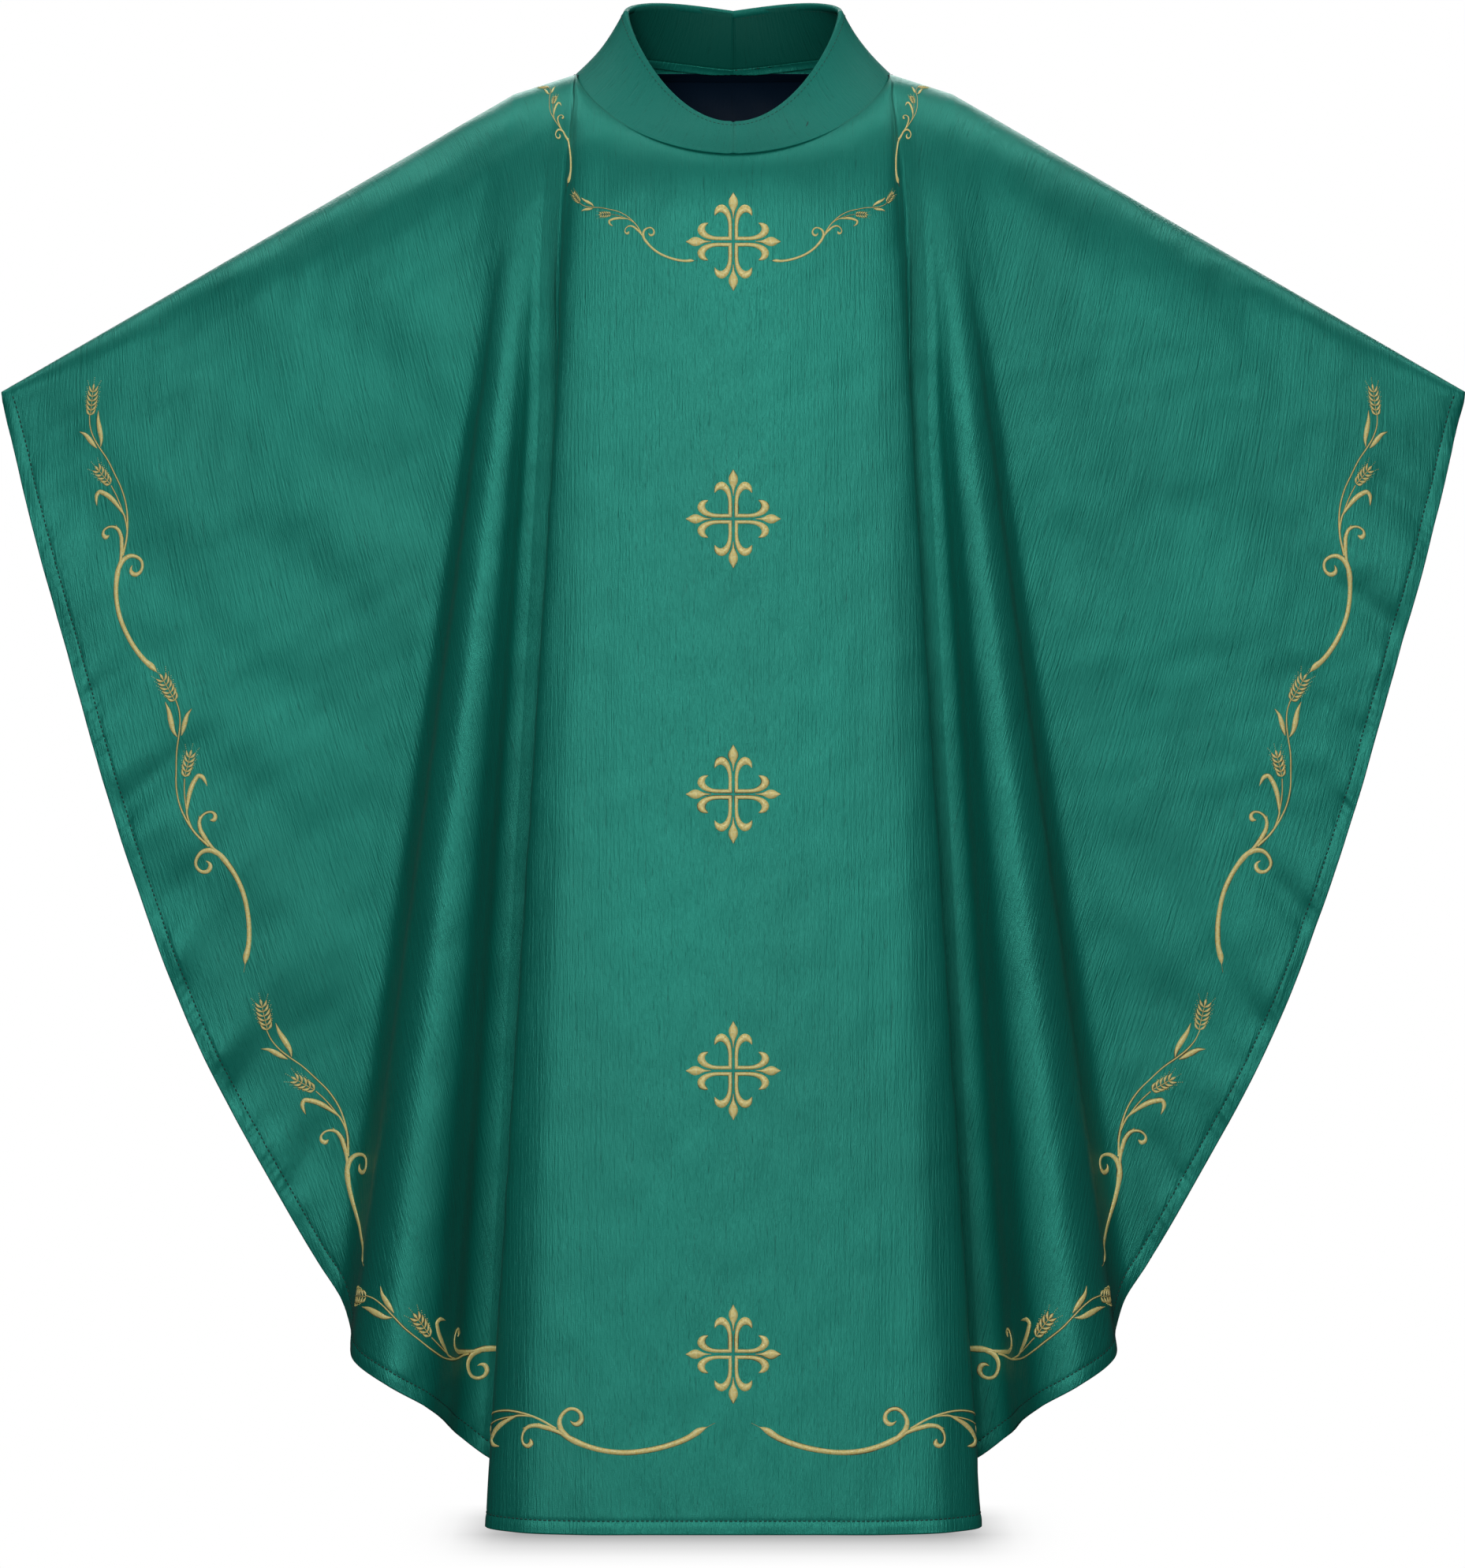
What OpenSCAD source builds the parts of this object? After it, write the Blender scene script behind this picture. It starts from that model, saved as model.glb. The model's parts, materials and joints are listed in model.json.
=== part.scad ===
// Chasuble: a wide, sleeveless outer vestment of emerald cloth with gold embroidery,
// shaped as it hangs when it is worn with the arms a little lowered.
// X runs across the wearer, -Y is the front and +Z is up. The origin is the middle of
// the neck seam. Millimetres.

/* [Overall] */
// Width from wrist point to wrist point
span = 1318; // [1280:1:1360]
// Drop from the shoulder to the lowest point of the hem
drop = 1305; // [1270:1:1340]
// Drop from the shoulder to the wrist points
wrist_drop = 282; // [270:1:294]

/* [Cloth] */
// Thickness of a panel, face cloth and lining together
cloth = 1.6; // [1.2:0.1:2]
// Depth of the folds of the front panel, as a share of the usual depth
fold_depth = 1; // [0.8:0.05:1.1]
// Depth of the folds of the back panel
back_fold_depth = 0.92; // [0.8:0.02:1]
// Width of the turned-in hem
hem_width = 12; // [8:1:16]
// Thickness of the turned-in hem
hem_layer = 1; // [0.8:0.1:1.4]

/* [Neck and collar] */
// Half of the width of the neck seam
neck_half = 141; // [136:1:146]
// Distance from the shoulder line forward to the neck seam at the centre front
neck_front = 115; // [105:1:120]
// Distance from the shoulder line back to the neck seam at the centre back
neck_back = 100; // [92:1:106]
// How far the neck seam dips at the centre front
neck_dip = 73.6; // [66:0.2:78]
// Half of the width of the collar's rim
rim_half = 97; // [94:1:100]
// Thickness of one layer of the collar
collar_layer = 1.2; // [1:0.1:1.4]
// Height of the facing inside the collar
facing_height = 50; // [40:1:52]

/* [Embroidery] */
// Height of the raised gold thread above the cloth
thread_height = 1.4; // [1:0.1:2]
// Depth to which the thread is sewn into the cloth
thread_root = 0.5; // [0.3:0.1:0.8]
// Size of the crosses, as a share of 88 mm
cross_scale = 1; // [0.9:0.02:1.1]

/* [Hidden] */
emerald = "#1f7a68";
deep_green = "#14564a";
lining_green = "#0f3f3a";
canvas = "#d8d2c0";
gold = "#d9a62e";

SIDES = ["left", "right"];
FACES = ["front", "back"];
SPRAYS = ["shoulder", "neck", "wrist", "arm", "side", "hem", "centre"];
CROSSES = ["1", "2", "3", "4", "5"];

// ---- Small helpers ----

function tanh(x) = 1 - 2 / (exp(2 * x) + 1);
// Angle turned, in radians, after x radii along a soft bend, and how far it has dropped
function turned(x) = 2 * atan(tanh(x / 2)) * PI / 180;
function dropped(x) = x + ln((1 + exp(-2 * x)) / 2);
function undropped(y) = y + ln(1 + sqrt(1 - exp(-2 * y)));
function mix(a, b, f) = a + (b - a) * f;
function unit(v) = v / norm(v);
function reversed(list) = [for (i = [len(list) - 1:-1:0]) list[i]];
function flip_x(p) = [-p.x, p.y, p.z];

// ---- The cut line of one half of a panel and the fold lines that meet it ----

// Each row is one fold line: where it meets the hem (distance from the centre line,
// distance in front of the shoulders, drop), and where it starts above, from 0 at the
// middle of the neck seam through 1 at the side of the neck to 2 at the wrist point.
kx = span / 1318;
kz = drop / 1305;
usual_rows = [
  [0, 165, 1305, 0], [75, 164, 1305, 0.22], [140, 160, 1305, 0.44], [195, 149, 1303, 0.69],
  [222, 124, 1299, 0.93], [206, 90, 1290, 1.006], [181, 56, 1272, 1.014], [196, 28, 1254, 1.022],
  [225, 24, 1237, 1.03], [245, 33, 1221, 1.038], [258, 64, 1206, 1.046], [276, 95, 1192, 1.056],
  [309, 104, 1174, 1.066], [342, 77, 1150, 1.076], [344, 38, 1124, 1.088], [353, 15, 1098, 1.1],
  [375, 10, 1063, 1.125], [410, 14, 1003, 1.18], [483, 22, 866, 1.33], [547, 24, 696, 1.5],
  [597, 22, 525, 1.68], [643, 12, 355, 1.9]
];
wrist_row = [span / 2 - 1, 4, wrist_drop + 9, 2];
rows = concat([for (r = usual_rows) [r[0] * kx, r[1], r[2] * kz, r[3]]], [wrist_row]);
last_row = len(rows) - 1;
gaps = [for (i = [0:last_row - 1]) norm([for (a = [0:2]) rows[i + 1][a] - rows[i][a]])];
slopes = [for (i = [0:last_row - 1]) (rows[i + 1] - rows[i]) / gaps[i]];
level = [slopes[0][0], 0, 0, slopes[0][3]];
tangents = [for (i = [0:last_row])
  i == 0 ? level
  : i == last_row ? slopes[last_row - 1]
  : (slopes[i] * gaps[i - 1] + slopes[i - 1] * gaps[i]) / (gaps[i] + gaps[i - 1])];

// A smooth curve through the rows, where u counts rows from the centre line
function row_at(u) =
  let (
    i = max(0, min(last_row - 1, floor(u))), f = u - i, g = gaps[i],
    r = (2 * f ^ 3 - 3 * f ^ 2 + 1) * rows[i] + (f ^ 3 - 2 * f ^ 2 + f) * g * tangents[i]
      + (3 * f ^ 2 - 2 * f ^ 3) * rows[i + 1] + (f ^ 3 - f ^ 2) * g * tangents[i + 1]
  )
  // the start runs straight from row to row, so that it never turns back
  [r[0], r[1], r[2], mix(rows[i][3], rows[i + 1][3], f)];

// The neck seam, then the line of the shoulder and the arm
shoulder_end = [197 * kx, 0, -14];
wrist_point = [span / 2, 0, -wrist_drop];
side_neck = [neck_half, 0, 4];
shoulder_length = norm(shoulder_end - side_neck);
arm_length = norm(wrist_point - shoulder_end);

function neck_seam(a, back) = back
  ? [neck_half * sin(a), neck_back * cos(a), 4 + 5 * cos(a)]
  : [neck_half * sin(a), neck_front * cos(a), 4 - neck_dip * max(0, cos(a)) ^ 1.4];
function arm_line(s) =
  let (d = s * (shoulder_length + arm_length))
  d < shoulder_length ? mix(side_neck, shoulder_end, d / shoulder_length)
  : mix(shoulder_end, wrist_point, (d - shoulder_length) / arm_length);
function start_at(t, back) = t < 1 ? neck_seam(90 * t, back) : arm_line(min(1, t - 1));

// Radius of the soft bend over the shoulder and arm, and how far round it the cloth starts
function bend(t) = t < 1 ? 30 + 45 * t ^ 2 : 8 + 67 * max(0, 2 - t) ^ 1.3;
function lead(t, back) = t < 1 ? (back ? 0.5 : 0.9) * cos(90 * t) ^ 2 : 0;

// One fold line: its start, its hem point, its bend, its lead, its run and its length
function fold_line(u, back) =
  let (
    r = row_at(u), t = max(0, r[3]),
    top = start_at(t, back),
    hem = [r[0], r[1] * (back ? back_fold_depth : fold_depth), -r[2]],
    b = bend(t), k = lead(t, back),
    run = norm([hem.x - top.x, hem.z - top.z])
  )
  [top, hem, b, k, run, b * (undropped(run / b + dropped(k)) - k)];

// A point of the cloth, v running from 0 at the top to 1 at the hem
function along(line, v, back) =
  let (
    top = line[0], hem = line[1], b = line[2], k = line[3],
    e = v * line[5] / b + k,
    share = b * (dropped(e) - dropped(k)) / line[4],
    out = b * (turned(e) - turned(k)),
    all_out = b * (turned(line[5] / b + k) - turned(k)),
    depth = top.y + out + (hem.y - all_out - top.y) * share
  )
  [mix(top.x, hem.x, share), (back ? 1 : -1) * depth, mix(top.z, hem.z, share)];
function cloth_point(u, v, back) = along(fold_line(u, back), v, back);

// The outward normal of the cloth there
function cloth_normal(u, v, back) =
  let (
    step = 0.02, u0 = max(0, u - step), u1 = min(last_row, u + step),
    v0 = max(0, v - 0.002), v1 = min(1, v + 0.002),
    across = cloth_point(u1, v, back) - cloth_point(u0, v, back),
    line = fold_line(u, back),
    down = along(line, v1, back) - along(line, v0, back)
  )
  unit(cross(across, down)) * (back ? 1 : -1);
function raised(u, v, h, back) = cloth_point(u, v, back) + h * cloth_normal(u, v, back);

// ---- Solids ----

// A closed skin between two grids of points, the second lying behind the first
module slab(face, rear) {
  m = len(face);
  n = len(face[0]);
  o = m * n;
  points = concat([for (r = face) each r], [for (r = rear) each r]);
  function quad(a, b, c, d) = [[a, b, c], [a, c, d]];
  faces = concat(
    [for (i = [0:m - 2]) for (j = [0:n - 2])
      let (a = i * n + j) each quad(a, a + 1, a + n + 1, a + n)],
    [for (i = [0:m - 2]) for (j = [0:n - 2])
      let (a = o + i * n + j) each quad(a, a + n, a + n + 1, a + 1)],
    [for (i = [0:m - 2]) let (a = i * n) each quad(a, a + n, a + n + o, a + o)],
    [for (i = [0:m - 2]) let (a = i * n + n - 1) each quad(a, a + o, a + n + o, a + n)],
    [for (j = [0:n - 2]) each quad(j, j + o, j + 1 + o, j + 1)],
    [for (j = [0:n - 2]) let (a = (m - 1) * n + j) each quad(a, a + 1, a + 1 + o, a + o)]
  );
  polyhedron(points, faces, convexity = 10);
}

// A rod through a row of sections, either with two ends or joined into a ring
module rod(sections, ring = false) {
  m = len(sections);
  n = len(sections[0]);
  last = ring ? m - 1 : m - 2;
  sides = [for (i = [0:last]) for (j = [0:n - 1])
    let (a = i * n, b = ((i + 1) % m) * n, k = (j + 1) % n)
    each [[a + j, a + k, b + k], [a + j, b + k, b + j]]];
  ends = ring ? [] : [reversed([for (j = [0:n - 1]) j]), [for (j = [0:n - 1]) (m - 1) * n + j]];
  polyhedron([for (s = sections) each s], concat(sides, ends), convexity = 10);
}

// ---- Panels, hems and seams ----

// Fold lines used: three to a row where the cloth folds, two where it is smoother
first_fold = 4;
last_fold = 16;
half_lines = concat(
  [for (i = [0:2 * first_fold - 1]) i / 2],
  [for (i = [0:3 * (last_fold - first_fold) - 1]) first_fold + i / 3],
  [for (i = [0:2 * (last_row - last_fold)]) last_fold + i / 2]
);
all_lines = concat(
  [for (i = [len(half_lines) - 1:-1:1]) [-1, half_lines[i]]],
  [for (u = half_lines) [1, u]]
);
down_steps = 6;
downs = [for (j = [0:down_steps]) (j / down_steps) ^ 2];

function sided(side, p) = side < 0 ? flip_x(p) : p;

module panel(back) {
  function layer(h) = [for (v = downs) [for (l = all_lines)
    sided(l[0], raised(l[1], v, h, back))]];
  if (back) slab(layer(-cloth), layer(0));
  else slab(layer(0), layer(-cloth));
}

module front_panel() {
  color(emerald) panel(false);
}

module back_panel() {
  color(emerald) panel(true);
}

// The hem is turned to the inside of the panel
module hem(back) {
  // a strip just short of both wrist points, where there is no room to turn a hem
  last = len(all_lines) - 1;
  lines = concat([all_lines[1]], [for (i = [2:2:last - 2]) all_lines[i]], [all_lines[last - 1]]);
  sections = [for (l = lines)
    let (v0 = 1 - min(0.8, hem_width / fold_line(l[1], back)[5]))
    [for (p = [
      raised(l[1], 1, -cloth, back), raised(l[1], v0, -cloth, back),
      raised(l[1], v0, -cloth - hem_layer, back), raised(l[1], 1, -cloth - hem_layer, back)
    ]) sided(l[0], p)]];
  color(deep_green) rod(back ? reversed(sections) : sections);
}

module front_hem() {
  hem(false);
}

module back_hem() {
  hem(true);
}

// Tape over the neck seam, on the inside
tape_width = 12;
tape_layer = 1;
neck_lines = [for (i = [0:7]) 4.9 * i / 7];

module neck_tape() {
  function section(side, u, back) =
    let (v = tape_width / fold_line(u, back)[5])
    [for (p = [
      raised(u, 0, -cloth, back), raised(u, v, -cloth, back),
      raised(u, v, -cloth - tape_layer, back), raised(u, 0, -cloth - tape_layer, back)
    ]) sided(side, p)];
  n = len(neck_lines);
  color(deep_green) rod(concat(
    [for (i = [1:n - 1]) section(-1, neck_lines[i], false)],
    [for (i = [n - 1:-1:1]) section(-1, neck_lines[i], true)],
    [for (u = neck_lines) section(1, u, true)],
    [for (u = reversed(neck_lines)) section(1, u, false)]
  ), ring = true);
}

// The two seam allowances, pressed open under the shoulder and arm
seam_allowance = 7;
seam_layer = 0.9;
seam_start = 5.2;
seam_lines = [seam_start, 8, 12, 16, 17, 18, 19, 20, 21, 21.7];

module shoulder_seam(side) {
  function under(u, back, h) =
    raised(u, min(0.8, seam_allowance / fold_line(u, back)[5]), h, back);
  function middle(u, h) = fold_line(u, false)[0] + [0, 0, h];
  sections = [for (u = seam_lines) [for (p = [
    under(u, false, -cloth), middle(u, -cloth), under(u, true, -cloth),
    under(u, true, -cloth - seam_layer), middle(u, -cloth - seam_layer),
    under(u, false, -cloth - seam_layer)
  ]) sided(side, p)]];
  color(deep_green) rod(side > 0 ? sections : reversed(sections));
}

// ---- Collar ----

// The collar stands on the neck seam. a runs from 0 at the centre front to 180 at the
// centre back, and w from 0 at the seam to 1 at the rim.
rim_front = 60;
rim_back = 82;
rim_top = 62;
rim_front_dip = 102;
rim_back_rise = 7;
collar_hollow = 4;

function seam_point(a) =
  let (p = a <= 90 ? neck_seam(a, false) : neck_seam(180 - a, true))
  [p.x, a <= 90 ? -p.y : p.y, p.z];
function rim_point(a) = a <= 90
  ? [rim_half * sin(a), -rim_front * cos(a), rim_top - rim_front_dip * cos(a) ^ 1.6]
  : let (b = a - 90) [rim_half * cos(b), rim_back * sin(b),
                      rim_top + 2 * sin(b) + rim_back_rise * sin(2 * b)];
function collar_face(a, w) =
  let (s = seam_point(a), r = rim_point(a))
  mix(s, r, w) - collar_hollow * sin(180 * w) * unit([sin(a), -cos(a), 0.6]);
function collar_normal(a, w) =
  let (
    a0 = max(0, a - 1), a1 = min(180, a + 1), w0 = max(0, w - 0.02), w1 = min(1, w + 0.02)
  )
  unit(cross(collar_face(a1, w) - collar_face(a0, w), collar_face(a, w1) - collar_face(a, w0)));
function collar_point(a, w, h) = collar_face(a, w) + h * collar_normal(a, w);

collar_steps = 15;
rise_steps = 3;
collar_angles = [for (i = [0:collar_steps]) 180 * i / collar_steps];

// One half of one layer, between two depths behind the outer face
module collar_half(side, near, far, height) {
  function grid(h) = [for (j = [0:rise_steps]) [for (a = collar_angles)
    let (
      full = norm(rim_point(a) - seam_point(a)),
      low = height == 0 ? 0 : 1 - height / full,
      p = collar_point(a, mix(low, 1, j / rise_steps), h)
    )
    // both halves stop exactly on the centre seams
    sided(side, a == 0 || a == 180 ? [0, p.y, p.z] : p)]];
  if (side > 0) slab(grid(-far), grid(-near));
  else slab(grid(-near), grid(-far));
}

module collar_outer(side) {
  color(emerald) collar_half(side, 0, collar_layer, 0);
}

layer_gap = 0.1;
module collar_inner(side) {
  near = 2 * (collar_layer + layer_gap);
  color(lining_green) collar_half(side, near, near + collar_layer, facing_height);
}

// A stiff canvas band between the two, open at the centre front
interfacing_inset = 3;
module collar_interfacing() {
  near = collar_layer + layer_gap;
  open_angle = 3;
  angles = [for (i = [0:2 * collar_steps]) mix(open_angle, 360 - open_angle, i / (2 * collar_steps))];
  function grid(h) = [for (j = [0:2]) [for (a = angles)
    let (
      b = a <= 180 ? a : 360 - a,
      edge = interfacing_inset / norm(rim_point(b) - seam_point(b)),
      p = collar_point(b, mix(2 * edge, 1 - edge, j / 2), h)
    )
    a <= 180 ? p : flip_x(p)]];
  color(canvas) slab(grid(-near - collar_layer), grid(-near));
}

// ---- Crosses on the centre line ----

bar_near = 1;
bar_far = 4.2;
bar_end = 19.2;
petal = [
  [bar_near, bar_end], [2.5, 26], [5, 31.5], [7.8, 33.4], [11, 32], [14, 28], [15.6, 23.4],
  [13.4, 25.6], [10.7, 25.9], [8, 24.2], [5.6, 21.5], [bar_far, bar_end]
];
leaf = [[0, 43.3], [3, 39.5], [4.3, 35.5], [3.4, 31], [1.6, 26], [0, 20.6]];
cross_drops = [150, 398, 644, 891, 1144];

// Depth of the cloth at a place close to the centre line
function centre_depth(x, z, back) =
  let (
    line = fold_line(0, back), b = line[2], k = line[3],
    fall = (line[0].z - z) / b + dropped(k),
    v = b * (undropped(fall) - k) / line[5],
    beside = cloth_point(1, v, back)
  )
  abs(cloth_point(abs(x) / beside.x, v, back).y);

module embroidered_cross(drop_share, back) {
  turn = back ? 180 : 0;
  z = -drop_share * kz;
  // each stitched piece lies on the cloth at its own depth
  module stitched(x, dz) {
    rotate([0, 0, turn]) translate([0, thread_root - centre_depth(x, z + dz, back), z])
      rotate([90, 0, 0]) linear_extrude(thread_root + thread_height)
        scale(cross_scale) children();
  }
  side_petal = [for (p = petal) [p.y * 0.95, p.x * 0.98]];
  quadrant = concat([[bar_near, bar_near]], side_petal, [[bar_far, bar_far]], reversed(petal));
  whole_leaf = concat(leaf, [for (i = [len(leaf) - 2:-1:1]) [-leaf[i].x, leaf[i].y]]);
  color(gold) {
    for (sx = [-1, 1]) for (sy = [-1, 1])
      stitched(14, sy * 14) scale([sx, sy]) polygon(quadrant);
    for (q = [0:3])
      stitched(q % 2 == 0 ? 0 : 32, q % 2 == 0 ? (1 - q) * 32 : 0)
        rotate(90 * q) polygon(whole_leaf);
  }
}

// ---- Sprays of wheat, laid on the cloth by its flat pattern ----

// The flat pattern of one half of a panel: for each line, where it starts, how far it has
// turned from the centre line, its length and its u. Distances across the cloth at the top
// and at the hem give the turn from one line to the next. Both patterns have the centre of
// the hem at the same height, and the front one starts at the middle of the neck seam.
flat_steps = 4;
flat_lines = [for (i = [0:flat_steps * last_row]) i / flat_steps];

function flat_pattern(back) =
  let (
    lines = [for (u = flat_lines) fold_line(u, back)],
    tops = [for (l = lines) along(l, 0, back)],
    hems = [for (l = lines) along(l, 1, back)],
    downs_top = [for (i = [0:len(lines) - 1]) unit(along(lines[i], 0.001, back) - tops[i])],
    downs_hem = [for (i = [0:len(lines) - 1]) unit(hems[i] - along(lines[i], 0.999, back))]
  )
  [for (
    i = 0, place = [0, lines[0][5] - fold_line(0, false)[5]], turn = 0;
    i < len(lines);
    t = i + 1 < len(lines) ? tops[i + 1] - tops[i] : [0, 0, 1],
    h = i + 1 < len(lines) ? hems[i + 1] - hems[i] : [0, 0, 1],
    j = min(i + 1, len(lines) - 1),
    d0 = unit(downs_top[i] + downs_top[j]),
    d1 = unit(downs_hem[i] + downs_hem[j]),
    wide_top = norm(t - (t * d0) * d0),
    wide_hem = norm(h - (h * d1) * d1),
    shift = h * d1 - (lines[j][5] - lines[i][5]),
    step = 2 * (wide_hem - wide_top) / (lines[i][5] + lines[j][5]) * 180 / PI,
    middle = turn + step / 2,
    place = place + shift * [sin(middle), -cos(middle)] + wide_top * [cos(middle), sin(middle)],
    turn = turn + step,
    i = i + 1
  ) [place, turn, lines[i][5], flat_lines[i]]];
front_pattern = flat_pattern(false);
back_pattern = flat_pattern(true);

// How far a flat point lies beyond one line of the pattern
function beyond(p, s) = (p - s[0]) * [cos(s[1]), sin(s[1])];
function last_before(p, pattern, lo, hi) = hi - lo <= 1 ? lo
  : let (m = floor((lo + hi) / 2))
    beyond(p, pattern[m]) >= 0 ? last_before(p, pattern, m, hi) : last_before(p, pattern, lo, m);

// The place on the cloth, [u, v], of a point of the flat pattern
function on_cloth(p, pattern) =
  let (
    i = last_before(p, pattern, 0, len(pattern) - 1),
    a = pattern[i], b = pattern[i + 1],
    da = beyond(p, a), db = beyond(p, b),
    f = da / (da - db),
    turn = mix(a[1], b[1], f),
    e = (p - mix(a[0], b[0], f)) * [sin(turn), -cos(turn)]
  )
  [mix(a[3], b[3], f), max(0, min(1, e / mix(a[2], b[2], f)))];

// One spray, 265 mm long, with its ears at +y and the cut end of its stem at -y. The two
// scrolls join at the origin. Each stroke is a row of points: x, y and half width.
strokes = [
  // ears of wheat
  [[-33.7, 131, 0.9], [-33.9, 138, 5.5], [-33.2, 148, 6], [-32.3, 160, 0.9]],
  [[-8.9, 68.9, 0.9], [-13, 73.5, 5], [-19, 79.5, 5.2], [-26.5, 87, 0.9]],
  // their stems
  [[-34, 129, 0.9], [-28.4, 111.8, 0.9], [-13, 91.4, 0.9], [2.7, 63.9, 0.9], [8.3, 35.5, 0.9],
   [7.1, 21.3, 1], [2.7, 5.3, 1]],
  [[-8, 67.5, 0.9], [2.7, 46.2, 0.9], [7.6, 24.9, 0.9]],
  // leaves
  [[-20, 102.5, 0.9], [-19.8, 109, 1.8], [-22.5, 120, 2.6], [-25.2, 134.9, 0.9]],
  [[-24, 101.5, 0.9], [-31, 108.3, 2.3], [-43.8, 116.8, 0.9]],
  [[7.3, 32, 0.9], [0.9, 46.2, 1.3], [-6.2, 54.7, 2.2], [-17, 62, 2.1], [-22.9, 59, 1.8],
   [-22.5, 51.1, 0.9]],
  // scrolls
  [[0, 0, 1.2], [1.8, 14.2, 1.9], [-1.8, 28.9, 1.5], [-12, 31, 0.9], [-15.9, 25.5, 1.5],
   [-10.1, 24, 0.9]],
  [[-0.9, -5.3, 1.6], [8.9, 4.1, 1.9], [19.5, -1, 1.4], [20, -9, 1.5], [13.8, -12.6, 2],
   [10.2, -8.5, 1]]
];
main_stem = [
  [0, 0, 1.5], [-4.4, -19.5, 2.2], [-4.8, -30.2, 2.1], [-2.7, -46.2, 2.1], [2.7, -62.1, 2.1],
  [10.3, -77.2, 2.2], [18.6, -88.8, 2.3], [25.4, -95.4, 2.4], [30, -101, 0.9]
];

// For each spray: the fold line that its scrolls join on, the share of the way down that line,
// the lean outwards from it in degrees, the size, whether the ears lean inwards (1) or
// outwards (-1), and the stretch of the main stem
neckline_size = 0.5;
wing_size = 1.04;
border_size = 1.12;
spray_places = [
  [5.8, 0.075, 33, neckline_size, 1, 1],
  [1.7, 0.08, 50, neckline_size, -1, 1],
  [19.8, 0.69, 20, wing_size, -1, 1],
  [18.2, 0.82, 44, wing_size, 1, 1],
  [15.5, 0.905, 26, wing_size, -1, 1],
  [8.6, 0.935, 85, border_size, 1, 1],
  [2.3, 0.93, 79, border_size, -1, 1.12]
];
narrowest = 0.9;

// A line of the flat pattern between two others: where it starts, its turn and its length
function pattern_line(u, pattern) =
  let (
    i = [for (n = [1:len(pattern) - 1]) if (pattern[n][3] >= u) n][0],
    a = pattern[i - 1], b = pattern[i],
    f = (u - a[3]) / (b[3] - a[3])
  )
  [for (k = [0:2]) mix(a[k], b[k], f)];

module spray(number, side, back) {
  place = spray_places[number];
  line = pattern_line(place[0], front_pattern);
  joint = line[0] + place[1] * line[2] * [sin(line[1]), -cos(line[1])];
  turn = place[2] - line[1];
  size = place[3];
  pattern = back ? back_pattern : front_pattern;
  function laid(p) =
    let (q = [place[4] * p.x * size, p.y * size])
    on_cloth(joint + [q.x * cos(turn) + q.y * sin(turn), q.y * cos(turn) - q.x * sin(turn)],
             pattern);
  function section(p, across, w) =
    let (a = laid(p - across * w), b = laid(p + across * w), c = laid(p))
    [for (q = [
      raised(a[0], a[1], -thread_root, back), raised(b[0], b[1], -thread_root, back),
      raised(c[0], c[1], thread_height, back)
    ]) sided(side, q)];
  module stroke(points) {
    n = len(points) - 1;
    flat = [for (p = points) [p.x, p.y]];
    sections = [for (i = [0:n])
      let (d = unit(flat[min(n, i + 1)] - flat[max(0, i - 1)]))
      section(flat[i], [d.y, -d.x], max(narrowest, points[i][2] * size) / size)];
    outward = place[4] * side * (back ? -1 : 1);
    rod(outward > 0 ? sections : reversed(sections));
  }
  color(gold) {
    for (s = strokes) stroke(s);
    stroke([for (p = main_stem) [p.x * place[5], p.y * place[5], p[2]]]);
  }
}

// ---- Assembly ----

front_panel();
back_panel();
front_hem();
back_hem();
neck_tape();
collar_interfacing();
for (s = [0:1]) {
  side = 2 * s - 1;
  shoulder_seam(side);
  collar_outer(side);
  collar_inner(side);
}
for (f = [0:1]) {
  for (c = [0:4])
    embroidered_cross(cross_drops[c], f == 1);
  for (s = [0:1]) for (m = [0:len(SPRAYS) - 1])
    spray(m, 2 * s - 1, f == 1);
}
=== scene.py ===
"""Chasuble: the visual model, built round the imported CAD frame.

The cloth maths is in millimetres, as in the CAD model, and every mesh is made in metres.
X runs across the wearer, -Y is the front, +Z is up, and the origin is the middle of the
neck seam.
"""

import json
import math

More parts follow.
